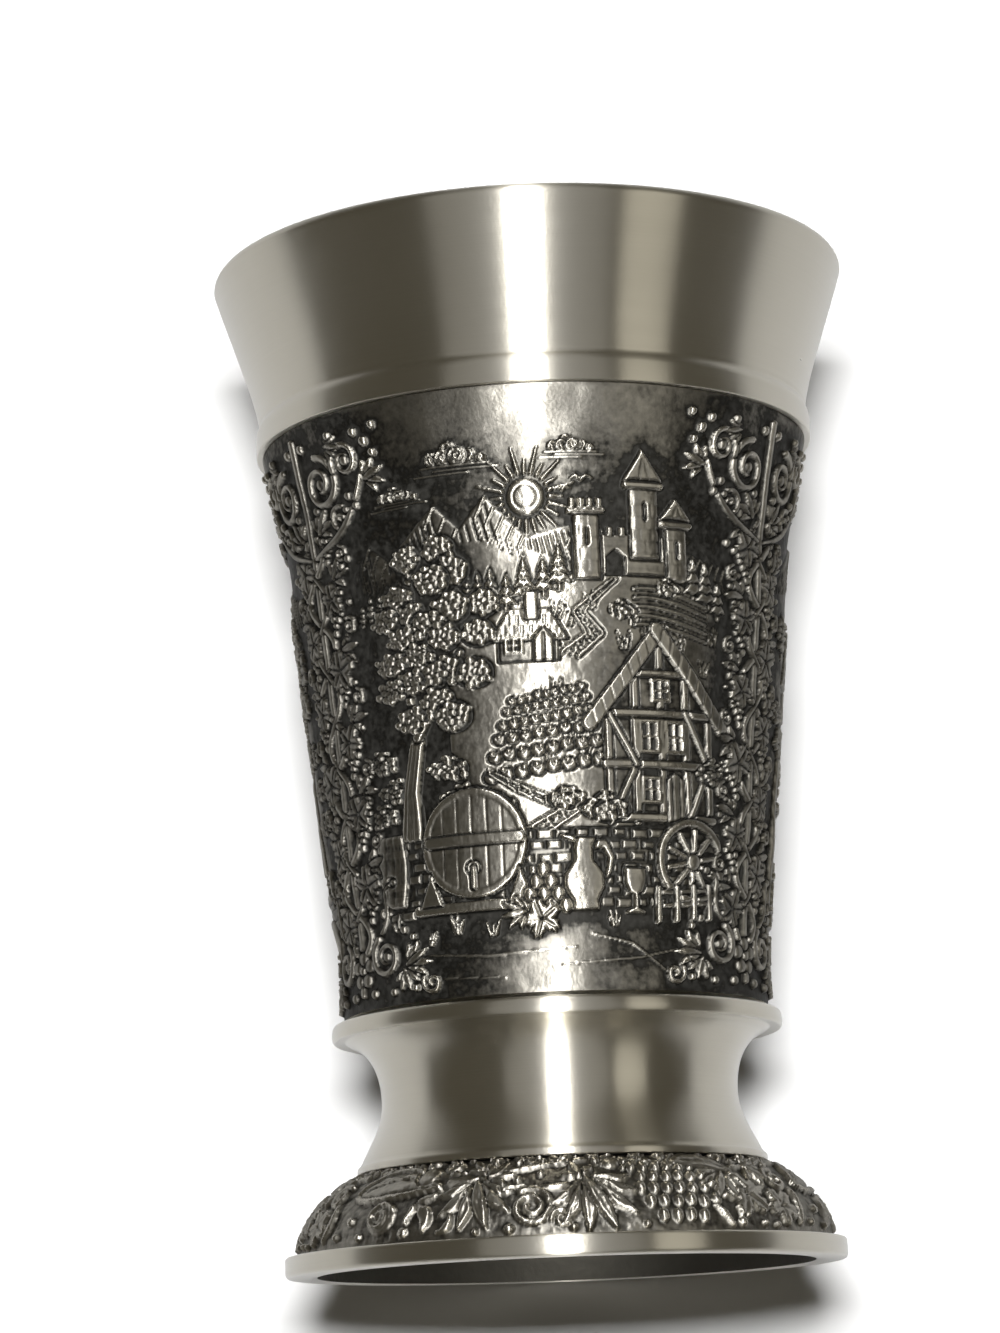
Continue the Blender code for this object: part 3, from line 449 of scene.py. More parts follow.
def frieze(canvas, width):
    """One repeat of the vine, as long as a third of the way round: a stem that rises and falls, a broad
    leaf rolled like a horn over a coiled disc, drooping leaves, tendrils wound in spirals, a wide bunch of
    grapes, flat leaves, and berries between them."""
    t = np.linspace(-0.5, 0.5, 90)
    wave = 5.3 + 0.6 * np.sin(math.tau * 2 * t + 0.6)
    stroke(canvas, np.stack([t * width, wave], axis=1), (0.22,), 0.3)
    for k in range(13):
        place = (k / 13 - 0.47) * width
        fan_leaf(canvas, place, 5.5 + 0.5 * math.sin(k * 1.4), 1.35, 40 * (-1) ** k, 0.34, 3)
        berry(canvas, place + 1.1, 6.65, 0.34, 0.36, 0.7)
        fan_leaf(canvas, place + 0.2, 6.1, 1.0, -60 * (-1) ** k, 0.36, 3)
    each(
        canvas,
        stem,
        ((-14.0, 3.8), (-12.8, 4.7), (-10.4, 4.7), (-8.2, 3.9), 20, (0.5, 1.15, 1.0, 0.4), 0.34),
        ((-14.6, 3.6), (-13.6, 5.7), (-11.4, 6.3), (-9.8, 5.3), 20, (0.12, 0.22, 0.14), 0.48, 0.12, 0.14),
        ((-14.6, 3.3), (-13.0, 2.7), (-10.4, 3.2), (-7.8, 3.6), 20, (0.14, 0.24, 0.12), 0.48, 0.12, 0.1),
        ((-13.8, 3.8), (-12.8, 4.5), (-11.6, 4.8), (-10.4, 4.6), 14, (0.08, 0.18, 0.06), 0.46, 0.12, 0.16),
    )
    berry(canvas, -9.1, 4.9, 0.8, 0.42, 1.2)
    stroke(canvas, [(-11.5, 1.7), (-11.45, 1.7)], (1.1,), 0.32)
    tendril(canvas, -11.5, 1.7, 0.98, 30, 1.5, 30, (0.16, 0.12), 0.46, 0.1, 0.14)
    each(
        canvas,
        stem,
        ((-9.5, 1.2), (-9.2, 2.6), (-8.0, 3.1), (-6.6, 3.2), 16, (0.14, 0.26, 0.2), 0.42),
        ((-8.8, 2.3), (-8.2, 1.9), (-8.0, 1.2), (-8.3, 0.6), 12, (0.12, 0.46, 0.4, 0.1), 0.4),
        ((-6.6, 1.6), (-6.3, 1.0), (-6.9, 0.4), (-7.3, 0.5), 10, (0.12, 0.26, 0.14), 0.42),
        ((-7.2, 4.1), (-6.2, 3.9), (-5.0, 3.4), (-3.6, 3.4), 12, (0.3, 0.9, 0.9, 0.3), 0.3),
    )
    each(canvas, fan_leaf, (-5.3, 3.9, 3.5, 182, 0.5, 6), (-4.6, 4.2, 1.8, -60, 0.44, 4))
    stem(canvas, (-3.6, 3.1), (-2.4, 3.7), (-1.2, 2.5), (1.2, 3.6), 16, (0.14, 0.22), 0.42)
    tendril(canvas, -1.85, 1.75, 1.3, 120, -1.9, 36, (0.24, 0.15), 0.48)
    tendril(canvas, -0.1, 0.95, 0.62, 180, -1.4, 26, (0.18, 0.12), 0.42)
    stroke(canvas, [(1.0, 3.4), (0.75, 2.0)], (0.5, 0.7), 0.24)
    each(canvas, fan_leaf, (1.3, 3.9, 4.0, 203, 0.52, 7), (1.0, 4.0, 1.6, 20, 0.46, 3))
    berry(canvas, 3.2, 5.4, 0.6, 0.4)
    for row, places in enumerate((range(6), range(6), range(6), range(6), range(1, 5))):
        for k in places:
            bx = 4.4 + 0.84 * k + 0.34 * (row % 2) + 0.1 * row
            berry(canvas, bx, 4.9 - 0.98 * row + 0.12 * math.sin(3.0 * k), 0.29, 0.48, 1.7, 0.14)
    stem(canvas, (7.8, 5.4), (9.0, 6.0), (10.4, 5.6), (11.6, 4.4), 12, (0.4, 0.95, 0.9, 0.3), 0.36)
    cut(canvas, [(8.2, 5.5), (9.8, 5.5), (11.2, 4.7)], 0.12, 0.2)
    stem(canvas, (9.0, 1.6), (9.4, 1.3), (9.6, 0.8), (10.0, 0.3), 10, (0.1, 0.22, 0.12), 0.44)
    vine_leaf(canvas, 11.6, 2.4, 2.0, 10, 0.48)
    each(canvas, fan_leaf, (10.6, 4.2, 2.4, 150, 0.42, 5), (13.4, 5.0, 2.2, 220, 0.44, 5))
    vine_leaf(canvas, 14.4, 1.6, 1.5, -40, 0.44)
    tendril(canvas, 15.4, 3.7, 0.95, 60, 1.6, 30, (0.24, 0.15), 0.44)
    stem(canvas, (16.2, 2.9), (16.6, 1.8), (16.0, 1.0), (15.8, 0.5), 12, (0.18, 0.3, 0.12), 0.4)
    for cx, cy, radius in (
        (-15.2, 0.7, 0.26), (-13.0, 0.55, 0.26), (-14.0, 1.6, 0.34), (-9.6, 0.6, 0.36), (-5.0, 0.35, 0.22),
        (-3.1, 0.45, 0.32), (-2.3, 6.0, 0.26), (-1.3, 5.8, 0.26), (-2.8, 3.9, 0.32), (-1.4, 4.4, 0.26),
        (0.5, 0.4, 0.24), (2.2, 5.7, 0.34), (4.6, 0.45, 0.22), (9.4, 3.2, 0.26), (10.7, 0.55, 0.3),
        (12.4, 0.5, 0.22), (13.4, 0.4, 0.24), (12.9, 3.3, 0.26),
    ):
        berry(canvas, cx, cy, radius, 0.46)


def blur(field, reach):
    """Mean of the field over a square of the given half-width in cells, by running sums along both
    directions. The field goes on round the cup."""
    span = 2 * reach + 1
    for axis, mode in ((0, "edge"), (1, "wrap")):
        pad = [(0, 0), (0, 0)]
        pad[axis] = (reach + 1, reach)
        sums = np.cumsum(np.pad(field, pad, mode=mode), axis=axis)
        low = np.arange(field.shape[axis])
        field = (np.take(sums, low + span, axis=axis) - np.take(sums, low, axis=axis)) / span
    return field


def rubbed_share(field, cell, plain):
    """How bright the rubbing left each point, from 0 in a crevice to 1 on top. Open ground has the plain
    share. It falls with the depth below what lies close by and in two wider rings, and grows with the
    height and with how far a point stands over what lies close by."""
    over = field - blur(field, max(1, round(CLOSE_BY / cell)))
    hollow = CLOSE_HOLLOW * np.clip(-over, 0.0, None)
    for reach, share in RING_HOLLOWS:
        cells = max(1, round(reach / cell))
        hollow += share * np.clip(blur(blur(field, cells), cells) - field, 0.0, None)
    return np.clip(plain - hollow + CLOSE_RISE * np.clip(over, 0.0, None) + HEIGHT_SHARE * field, 0.0, 1.0)


def flattened(field, limit):
    """The cast's heights after wear: they level out below a limit, as the hyperbolic tangent does."""
    return limit * np.tanh(field / limit)


def dome_points(foot, top, steps):
    """A quarter-round profile that leaves its foot almost upright and runs in flat to its top, with its
    points spread evenly along it. Gives how far along it each point lies, and the points."""
    reach, rise = foot[0] - top[0], top[1] - foot[1]
    leave = (foot[0] - reach * 0.07, foot[1] + rise * 0.5)
    arrive = (top[0] + reach * 0.46, top[1] - rise * 0.17)
    points = bezier(foot, leave, arrive, top, 400)
    climb = np.concatenate([[0.0], np.cumsum(np.linalg.norm(np.diff(points, axis=0), axis=1))])
    even = np.linspace(0.0, climb[-1], steps + 1)
    return even, np.stack([np.interp(even, climb, side) for side in points.T], axis=1)


def swept(profile, columns, raised=None):
    """Points of a ring: the (radius, height) profile, turned about the axis to each column's angle, which
    runs from the back round by the left, the front and the right. Raised gives the distance by which each
    point is moved out along the profile's normal."""
    angle = math.tau * (np.arange(columns) + 0.5) / columns - math.pi
    radius = np.repeat(profile[:, :1], columns, axis=1)
    height = np.repeat(profile[:, 1:], columns, axis=1)
    if raised is not None:
        slope = np.gradient(profile, axis=0)
        slope /= np.linalg.norm(slope, axis=1)[:, None]
        radius = radius + slope[:, 1:] * raised
        height = height - slope[:, :1] * raised
    return np.stack([radius * np.sin(angle), -radius * np.cos(angle), height], axis=-1)


def scaled(links, value, factor, plus):
    """A value times a factor, plus an amount. Gives its output."""
    return math_node(links, "MULTIPLY_ADD", value, factor, plus)


def noise_node(links, vector, scale, detail):
    """A noise of the given scale on a vector. Gives its factor output."""
    return add_node(links, "TexNoise", {"Vector": vector, "Scale": scale, "Detail": detail})[0]


def bump_node(links, height, distance):
    """A bump of the given depth in millimetres. Gives its normal output."""
    return add_node(links, "Bump", {"Height": height, "Distance": distance * MM})[0]


def new_metal(name):
    """A metal with an empty look. Gives the material, its links, its shader and object coordinates."""
    material = bpy.data.materials.new(name)
    material.use_nodes = True
    links = material.node_tree.links
    shader = material.node_tree.nodes["Principled BSDF"]
    feed(links, shader, {"Metallic": 1.0})
    return material, links, shader, add_node(links, "TexCoord")["Object"]


def antiqued_pewter():
    """Cast pewter that was blackened and rubbed: the rubbed attribute, mottled by noise, leads from the
    black of the bath to bright metal and makes it smoother, and a fine grain roughens all of it. On the
    wall the attribute also carries a painted highlight down the middle of each picture."""
    material, links, shader, place = new_metal("antiqued_pewter")
    rubbed = add_node(links, "Attribute", attribute_name="rubbed")["Fac"]
    blotch = noise_node(links, place, 700.0, 4.0)
    grain = noise_node(links, place, 5200.0, 3.0)
    specks = noise_node(links, place, 2600.0, 3.0)
    stain = scaled(links, blotch, 0.6, scaled(links, specks, 0.8, -0.75))
    share = scaled(links, stain, math_node(links, "SUBTRACT", 1.1, rubbed), rubbed)
    tone = add_node(links, "ValToRGB", {"Fac": share})["Color"]
    stops = tone.node.color_ramp.elements
    for stop, at, colour in ((stops[0], 0.08, BLACKENED), (stops[1], 0.95, RUBBED)):
        stop.position, stop.color = at, (*colour, 1.0)
    stops.new(0.42).color = (*HALF_RUBBED, 1.0)
    look = {
        "Base Color": tone,
        "Roughness": scaled(links, grain, 0.10, scaled(links, share, -0.16, 0.36)),
        "Metallic": scaled(links, share, 1.5, 0.82),
        "Specular IOR Level": 0.2,
        "Specular Tint": (0.5, 0.5, 0.5, 1.0),
        "Normal": bump_node(links, grain, 0.012),
    }
    feed(links, shader, look)
    return material


def turned_pewter():
    """Bright turned pewter. The rings are noise on the distance from the axis and the height alone, drawn
    out round the axis, and a fine satin grain lies over them. The gloss is stretched across the rings, by
    a tangent that runs round the axis, and a duller coat spreads it."""
    material, links, shader, place = new_metal("turned_pewter")
    x, y, z = add_node(links, "SeparateXYZ", {0: place})
    squares = [math_node(links, "MULTIPLY", side, side) for side in (x, y)]
    reach = math_node(links, "SQRT", math_node(links, "ADD", *squares))
    drawn_out = math_node(links, "MULTIPLY", math_node(links, "ARCTAN2", x, y), 0.00004)
    section = add_node(links, "CombineXYZ", {0: reach, 1: z, 2: drawn_out})[0]
    rings = noise_node(links, section, 9000.0, 3.0)
    bands = noise_node(links, section, 1300.0, 2.0)
    smear = noise_node(links, place, 150.0, 3.0)
    polish = scaled(links, smear, 0.9, scaled(links, rings, 0.5, -0.2))
    satin = scaled(links, noise_node(links, place, 5500.0, 2.0), 0.5, rings)
    look = {
        "Base Color": mixed(links, polish, DULL_PEWTER, PEWTER),
        "Roughness": scaled(links, bands, 0.05, scaled(links, smear, 0.06, 0.24)),
        "Coat Weight": 1.0,
        "Coat Roughness": 0.34,
        "Anisotropic": 1.0,
        "Anisotropic Rotation": 0.25,
        "Tangent": add_node(links, "CombineXYZ", {0: math_node(links, "MULTIPLY", y, -1.0), 1: x})[0],
        "Normal": bump_node(links, satin, 0.005),
    }
    feed(links, shader, look)
    return material


def rough_metal(name, colour, roughness, grain_size, depth):
    """Pewter or solder as it came from the mould or the iron: uneven in tone, dull and grainy."""
    material, links, shader, place = new_metal(name)
    grain = noise_node(links, place, 1000.0 / grain_size, 4.0)
    dark = [0.72 * part for part in colour]
    look = {
        "Base Color": mixed(links, noise_node(links, place, 260.0, 3.0), dark, colour),
        "Roughness": scaled(links, grain, 0.15, roughness),
        "Normal": bump_node(links, grain, depth),
    }
    feed(links, shader, look)
    return material


def foot_skirt_mesh():
    """The dome's rows are moved out by the frieze, and plain rows for the flange, the tenon and the hollow
    close the section."""
    foot, top = (DOME_FOOT_RADIUS, FLANGE_EDGE), (DOME_TOP_RADIUS, DOME_TOP_HEIGHT)
    even, dome = dome_points(foot, top, SKIRT_ROWS - 1)
    repeat = SKIRT_COLUMNS // FRIEZE_REPEATS
    across = (np.arange(repeat) + 0.5 - repeat / 2) / SKIRT_COLUMNS * math.tau * FRIEZE_RADIUS
    x, y = np.meshgrid(across, even)
    field = np.zeros(x.shape)
    width = math.tau * FRIEZE_RADIUS / FRIEZE_REPEATS
    for shift in (-width, width, 0.0):
        frieze((x + shift, y, field), width)
    uneven = blur(np.random.default_rng(5).normal(0.0, 1.0, field.shape), 2)
    field = flattened(np.maximum(field, FRIEZE_SUNK), FRIEZE_LIMIT)
    field = field + FRIEZE_UNEVENNESS * uneven / uneven.std()
    field *= np.clip(np.minimum(even, even[-1] - even) / FRIEZE_BORDER, 0.0, 1.0)[:, None]
    field = np.tile(field, (1, FRIEZE_REPEATS))
    inner_foot = (FLANGE_INNER_RADIUS, FLANGE_EDGE)
    inner_top = (DOME_TOP_RADIUS - SKIRT_WALL, DOME_TOP_HEIGHT - SKIRT_WALL)
    edge = [(FLANGE_INNER_RADIUS, 0.0), (FLANGE_RADIUS, 0.0), (FLANGE_RADIUS, FLANGE_EDGE)]
    flange = softened([inner_foot, *edge, foot], (0.08, 0.3, 0.22))[1:-1]
    outer, inner = SKIRT_TENON
    tenon = [(outer, top[1]), (outer, SKIRT_TENON_TOP), (inner, SKIRT_TENON_TOP), (inner, inner_top[1])]
    hollow = np.concatenate([tenon, dome_points(inner_foot, inner_top, 10)[1][::-1]])
    rows = ((flange, None), (dome, field), (hollow, None))
    points = np.concatenate([swept(profile, SKIRT_COLUMNS, raised) for profile, raised in rows])
    mesh = make_mesh("foot_skirt_cast", points, ring_faces(len(points), SKIRT_COLUMNS, True))
    # The flange's underside and the hollow get nearly black cast metal, painted shade; the flange's edge is
    # turned and the dome antiqued.
    looks = ((cast_painted_shade, 2), (bright, len(flange) - 2), (antiqued, SKIRT_ROWS - 1), (cast_painted_shade, len(hollow) + 1))
    dress(mesh, SKIRT_COLUMNS, *looks)
    shine = np.zeros(points.shape[:2])
    least, span = FRIEZE_SHINE
    shine[len(flange) : len(flange) + SKIRT_ROWS] = least + span * rubbed_share(field, even[1], 0.5)
    store(mesh, "rubbed", shine)
    mesh.set_sharp_from_angle(angle=math.radians(SKIRT_CREASE))
    return mesh


antiqued = antiqued_pewter()
bright = turned_pewter()
# The hollow under the foot and the flange's underside: painted shade, nearly black, over dull and grainy cast
# metal.
cast_painted_shade = rough_metal("cast_inside_painted_shade", (0.09, 0.085, 0.072), 0.5, 0.5, 0.03)
add_piece("foot_skirt_cast", foot_skirt_mesh(), "antiqued_pewter", "foot_skirt")


# The foot's neck: turned, hollow, with a small lip below, a deep scotia and the bead that carries the
# bowl, undercut so that its lower edge is crisp. An upstand inside the bowl holds the floor. The tool
# left fine rings all round.
NECK_COLUMNS = 256
NECK_WAIST = (11.5, 11.0)
TURNED_CREASE = 40.0


def turning(name, profile, columns, pierced=True):
    """A bright turned piece: its profile, swept round the axis, with sharp edges where the tool turned
    off. A piece that isn't pierced has the two ends of its profile closed across the axis."""
    rows = len(profile) if pierced else len(profile) - 1
    faces = ring_faces(len(profile), columns, True)[: rows * columns]
    loop = np.arange(columns)
    ends = () if pierced else (loop[::-1], loop + rows * columns)
    mesh = make_mesh(name, swept(profile, columns), faces, ends)
    dress(mesh, columns, (bright, rows))
    mesh.set_sharp_from_angle(angle=math.radians(TURNED_CREASE))
    return mesh


def neck_profile():
    """The outside runs from the lip's foot up to the upstand, and the bore and the socket close it."""
    lower = bezier((12.95, 7.0), (12.3, 8.4), (11.5, 9.4), NECK_WAIST, 28)
    upper = bezier(NECK_WAIST, (11.5, 12.6), (12.0, 14.35), (13.65, 14.85), 28)[1:-1]
    lip = softened([(11.5, 6.35), (13.2, 6.35), (13.2, 6.8), (12.95, 7.0)], (0.12, 0.14))[1:]
    bead = [(13.2, 14.72), (13.75, 15.0), (14.5, 14.9), (14.6, 15.3), (14.5, 16.0), (11.75, 16.0)]
    bead = softened(bead, (0.1, 0.16, 0.2, 0.3), 5)[1:-1]
    inside = [(11.75, 16.0), (11.75, 17.6), (9.3, 17.6), (9.3, 8.0), (11.5, 8.0), (11.5, 6.35)]
    return np.concatenate([lip[:-1], lower, upper, bead, inside])


neck = turning("neck_turning", neck_profile(), NECK_COLUMNS)
add_piece("neck_turning", neck, "turned_pewter", "foot_neck")


# The bowl's wall: three village pictures between three pillars of vine, cast as one band. One height
# field covers the whole way round, and six pieces, a picture or a pillar each, are cut from it.
WALL_COLUMNS = 1200
WALL_ROWS = 460
WALL_FOOT = 16.3
WALL_TOP = 53.85
WALL_TENON_TOP = 56.4
WALL_TENON_RADIUS = 17.05
WALL_THICKNESS = 1.25
TAPER_FOOT = 16.4
TAPER_FOOT_RADIUS = 13.3
TAPER_RISE = 37.5
TAPER_WIDENING = 3.9
FOOT_FLARE = 0.45
FOOT_FLARE_RISE = 4.5
TOP_FLARE = 0.85
TOP_FLARE_START = 45.0
PILLAR_HALF = 2.9
PILLAR_SPREAD = 1.2
PILLAR_SPREAD_RISE = 7.0
WALL_SUNK = -0.06
WALL_LIMIT = 0.5
WALL_BORDER = 0.35
UNEVENNESS = 0.02
PIT_DEPTH = 0.006
PITTED_RISES = (0.0, 3.0, 5.0, 32.0, 34.5, 37.0)
PITTED_SHARES = (0.25, 0.25, 1.0, 1.0, 0.25, 0.25)
GROUND_SHINE = 0.3
TOP_SHINE = 0.18
TOP_SHINE_START = 49.0
# Heights up the wall of the painted highlight down the middle of each picture, and how much brighter and
# smoother the metal is painted at each.
PAINTED_HIGHLIGHT_HEIGHTS = (21.0, 26.0, 36.0, 41.0, 47.0, 51.0)
PAINTED_HIGHLIGHT_SHARES = (0.5, 0.25, 0.25, 0.55, 0.5, 0.3)
PILLAR_GROUND_LOSS = 0.15
PILLAR_LOSS = 0.14


def bore_at(z):
    """Radius of the bowl's bore at a height."""
    return TAPER_FOOT_RADIUS + TAPER_WIDENING * (z - TAPER_FOOT) / TAPER_RISE - WALL_THICKNESS


def ground_at(z):
    """Radius of the wall's ground at a height: as thick as the wall over the bore, and it flares a little
    towards the foot and more towards the collar."""
    foot = np.clip(1.0 - (z - WALL_FOOT) / FOOT_FLARE_RISE, 0.0, 1.0)
    top = np.clip((z - TOP_FLARE_START) / (WALL_TOP - TOP_FLARE_START), 0.0, 1.0)
    return bore_at(z) + WALL_THICKNESS + FOOT_FLARE * foot**1.3 + TOP_FLARE * top**1.4


def polygon_inside(x, y, corners):
    """Distance inside a closed outline: the distance to its nearest side, negative where a line to the
    right crosses the outline an even number of times."""
    nearest = np.full(x.shape, 9.0)
    odd = np.zeros(x.shape, bool)
    for (x0, y0), (x1, y1) in zip(corners, list(corners[1:]) + [corners[0]]):
        dx, dy = x1 - x0, y1 - y0
        t = np.clip(((x - x0) * dx + (y - y0) * dy) / (dx * dx + dy * dy + 1e-12), 0.0, 1.0)
        nearest = np.minimum(nearest, np.hypot(x - x0 - t * dx, y - y0 - t * dy))
        crossed = x < x0 + dx * (y - y0) / (dy if dy else 1e-9)
        odd ^= ((y0 > y) != (y1 > y)) & crossed
    return np.where(odd, nearest, -nearest)


def panel(canvas, corners, height, edge=0.2, moat=0.15):
    """Raises a flat shape with the given corners. Gives the canvas there and the distance inside."""
    x, y, field = near(canvas, *bound(corners, moat))
    inside = polygon_inside(x, y, [tuple(c) for c in corners])
    lay(field, inside, height, edge, moat)
    return x, y, field, inside


def box(left, low, right, high):
    """The corners of an upright rectangle."""
    return [(left, low), (right, low), (right, high), (left, high)]


def gabled(left, foot, right, eave, ridge):
    """The corners of a wall or a gate that ends in a gable."""
    return [(left, foot), (right, foot), (right, eave), ((left + right) / 2, ridge), (left, eave)]


def beam(canvas, points, width, height, moat=0.12):
    """Raises a flat bar along a line of points, with steep sides."""
    x, y, field = near(canvas, *bound(points, width / 2 + moat))
    lay(field, stroke_inside(x, y, points, (width / 2,)), height, 0.12, moat)


def vessel(canvas, cx, cy, profile, height, edge=0.25):
    """Raises a round vessel that stands on (cx, cy): at each height over it the half-width comes from the
    profile, and the front bulges like a tube. Gives the places from the middle of its foot."""
    along, wide = np.asarray(profile, float).T
    reach = np.hypot(along.max(), wide.max()) + 0.3
    x, y, field = near(canvas, (cx - reach, cy - reach), (cx + reach, cy + reach))
    u, v = x - cx, y - cy
    half = np.interp(v, along, wide)
    inside = np.minimum(half - np.abs(u), np.minimum(v - along[0], along[-1] - v))
    bulge = np.sqrt(np.clip(1.0 - 0.8 * (u / np.maximum(half, 0.05)) ** 2, 0.05, 1.0))
    lay(field, inside, height * bulge, edge, 0.16)
    return u, v, field, inside


def hatch(canvas, corners, pitch, depth):
    """Cuts level grooves into what lies inside an outline."""
    x, y, field = near(canvas, *bound(corners, 0.0))
    inside = polygon_inside(x, y, corners)
    groove = np.clip(1.0 - np.abs((y / pitch) % 1.0 - 0.5) * pitch / 0.11, 0.0, 1.0)
    field -= depth * groove * np.clip(inside / 0.2, 0.0, 1.0)


def score(field, inside, phase, width, depth):
    """Cuts a V-shaped groove wherever the phase is half way between whole numbers. The width is the
    groove's half-width as a share of the pitch."""
    away = np.abs(phase % 1.0 - 0.5)
    field -= depth * np.clip(1.0 - away / width, 0.0, 1.0) * (inside > 0.1)


def courses(field, inside, across, up, length, rise, bed, joint):
    """Cuts the joints of tiles or stones of a length and a rise, each course shifted by half of one. The
    bed joints and the upright ones are given as their width and depth."""
    course = up / rise
    score(field, inside, course, *bed)
    score(field, inside, across / length + 0.5 * (np.floor(course + 0.5) % 2), *joint)


def barrel(canvas, cx, cy, length, radius, height):
    """A barrel seen from the side, with staves and four hoops."""
    along = np.linspace(0.0, length, 9)
    wide = radius * (0.80 + 0.20 * np.sin(math.pi * along / length))
    profile = np.stack([along, wide], axis=1)
    u, v, field, inside = vessel(canvas, cx, cy, profile, height)
    half = np.interp(v, along, wide)
    score(field, inside, np.arcsin(np.clip(u / half, -1, 1)) / 0.42 + 0.5, 0.14, 0.10)
    for place in (0.1, 0.28, 0.72, 0.9):
        field += 0.13 * (np.abs(v - place * length) < 0.2) * (inside > 0)


def barrel_head(canvas, cx, cy, radius, height):
    """The round end of a barrel: a hoop round boards, with a bar across them and a tap below it."""
    x, y, field = near(canvas, (cx - radius - 0.2, cy - radius - 0.2), (cx + radius + 0.2, cy + radius + 0.2))
    away = np.hypot(x - cx, y - cy)
    lay(field, radius - away, height, 0.16, 0.18)
    inside, board = radius - 0.42 - away, height - 0.26
    hoop_edge = board * np.clip(1 - inside / 0.1, 0.0, 1.0) * 0.3
    field[...] = np.where(inside > 0, hoop_edge + board, field)
    score(field, inside, (x - cx) / 0.95 + 0.5, 0.1, 0.14)
    bar, tap = cy + 0.2, cy - radius * 0.45
    beam(canvas, [(cx - radius * 0.86, bar), (cx + radius * 0.86, bar)], 0.7, height - 0.02)
    berry(canvas, cx, tap, 0.45, height + 0.1)
    stroke(canvas, [(cx, tap), (cx, cy - radius * 0.8)], (0.16,), height + 0.05)


def jug(canvas, cx, cy, size, height, side):
    """A bellied jug with a banded neck, a spout and a handle on one side."""
    grip = ((0.26, 1.9), (0.62, 1.95), (0.82, 1.55), (0.72, 1.1), (0.44, 0.8))
    grip = [(cx + side * size * k, cy + size * v) for k, v in grip]
    stroke(canvas, grip, (0.2 * size**0.5, 0.14), height * 0.8)
    belly = (0, 0.42), (0.12, 0.45), (0.3, 0.42), (0.7, 0.62), (1.05, 0.6)
    belly += (1.5, 0.3), (1.9, 0.3), (2.15, 0.42)
    u, v, field, inside = vessel(canvas, cx, cy, np.array(belly) * size, height)
    for place in (0.28, 1.42, 1.92):
        field -= 0.14 * np.clip(1.0 - np.abs(v - place * size) / 0.1, 0, 1) * (inside > 0.05)
    spout = [(cx - side * size * k, cy + size * v) for k, v in ((0.3, 2.1), (0.62, 2.2))]
    stroke(canvas, spout, (0.2, 0.1), height * 0.8)


def goblet(canvas, cx, cy, size, height):
    """A footed drinking glass."""
    glass = (0, 0.42), (0.1, 0.42), (0.22, 0.1), (0.75, 0.09), (0.85, 0.3), (1.2, 0.44), (1.75, 0.46)
    u, v, field, inside = vessel(canvas, cx, cy, np.array(glass) * size, height, 0.15)
    field -= 0.12 * np.clip(1.0 - np.abs(v - 1.62 * size) / 0.09, 0, 1) * (inside > 0.05)


def circle(cx, cy, radius, steps):
    """Points of a circle. The last one lies on the first."""
    angle = np.linspace(0.0, math.tau, steps)
    return np.stack([cx + radius * np.cos(angle), cy + radius * np.sin(angle)], axis=1)


def wheel(canvas, cx, cy, radius, spokes, height):
    """A cart wheel: a ring, its spokes and the hub."""
    for k in range(spokes):
        turn = math.tau * (k + 0.3) / spokes
        tip = (cx + radius * 0.9 * math.cos(turn), cy + radius * 0.9 * math.sin(turn))
        stroke(canvas, [(cx, cy), tip], (0.17,), height * 0.8, 0.08)
    stroke(canvas, circle(cx, cy, radius * 0.9, 40), (0.26,), height)
    berry(canvas, cx, cy, radius * 0.2, height + 0.08)


def evenly(count, rx, ry, rng):
    """Places spread evenly over an oval, as the seeds of a sunflower, each a little off its place."""
    k = np.arange(count) + 0.5
    far, turn = np.sqrt(k / count), k * 2.39996
    spread = np.stack([rx * far * np.cos(turn), ry * far * np.sin(turn)], axis=1)
    return spread + rng.uniform(-0.12, 0.12, spread.shape) * min(rx, ry)


def clump(canvas, cx, cy, size, rng, height):
    """A clump of leaves: a dome covered with small leaves, the lower ones over the upper."""
    berry(canvas, cx, cy, size, height * 0.6, 0.8, 0.16)
    leaves = evenly(round(11 * size * size) + 3, size * 0.88, size * 0.7, rng)
    for dx, dy in leaves[np.argsort(-leaves[:, 1])]:
        leaf, rise = rng.uniform(0.21, 0.3), height * rng.uniform(0.85, 1.15)
        berry(canvas, cx + dx, cy + dy, leaf, rise, 0.85, 0.05, height * 0.32)


def tree(canvas, foot, fork, crown, radii, seed, height):
    """A tree: a trunk with bark grooves and roots, boughs, and a crown of leaf clumps laid from the top
    down over its oval."""
    rng = np.random.default_rng(seed)
    fx, fy = foot
    mx, my = (fx + fork[0]) / 2 - 0.3, (fy + fork[1]) / 2
    for side, root in ((-1, 0.9), (1, 0.7), (-1, 0.3)):
        stroke(canvas, [(fx, fy + 0.3), (fx + side * root * 1.6, fy - 0.4)], (0.4, 0.12), height * 0.8)
    stroke(canvas, [foot, (mx, my), fork], (0.95, 0.6, 0.5), height)
    for k in (-0.4, 0.05, 0.4):
        cut(canvas, [(fx + k, fy + 0.1), (mx + k * 0.6, my), (fork[0] + k * 0.5, fork[1])], 0.11, 0.22)
    for side in (-1, 1):
        bough = (crown[0] + side * radii[0] * 0.5, crown[1] - radii[1] * 0.2)
        stroke(canvas, [fork, bough], (0.35, 0.2), height * 0.8)
    places = evenly(round(radii[0] * radii[1] * 0.95), radii[0], radii[1], rng)
    for dx, dy in places[np.argsort(-places[:, 1])]:
        clump(canvas, crown[0] + dx, crown[1] + dy, rng.uniform(1.0, 1.35), rng, height)


def bush(canvas, cx, cy, size, seed, height=0.5):
    """A bush: a few leaf clumps in a low heap."""
    rng = np.random.default_rng(seed)
    for dx, dy, share in ((0.0, 0.6, 0.8), (-0.8, 0.15, 0.75), (0.8, 0.1, 0.8), (0.0, -0.05, 0.85)):
        clump(canvas, cx + dx * size, cy + dy * size, size * share, rng, height)


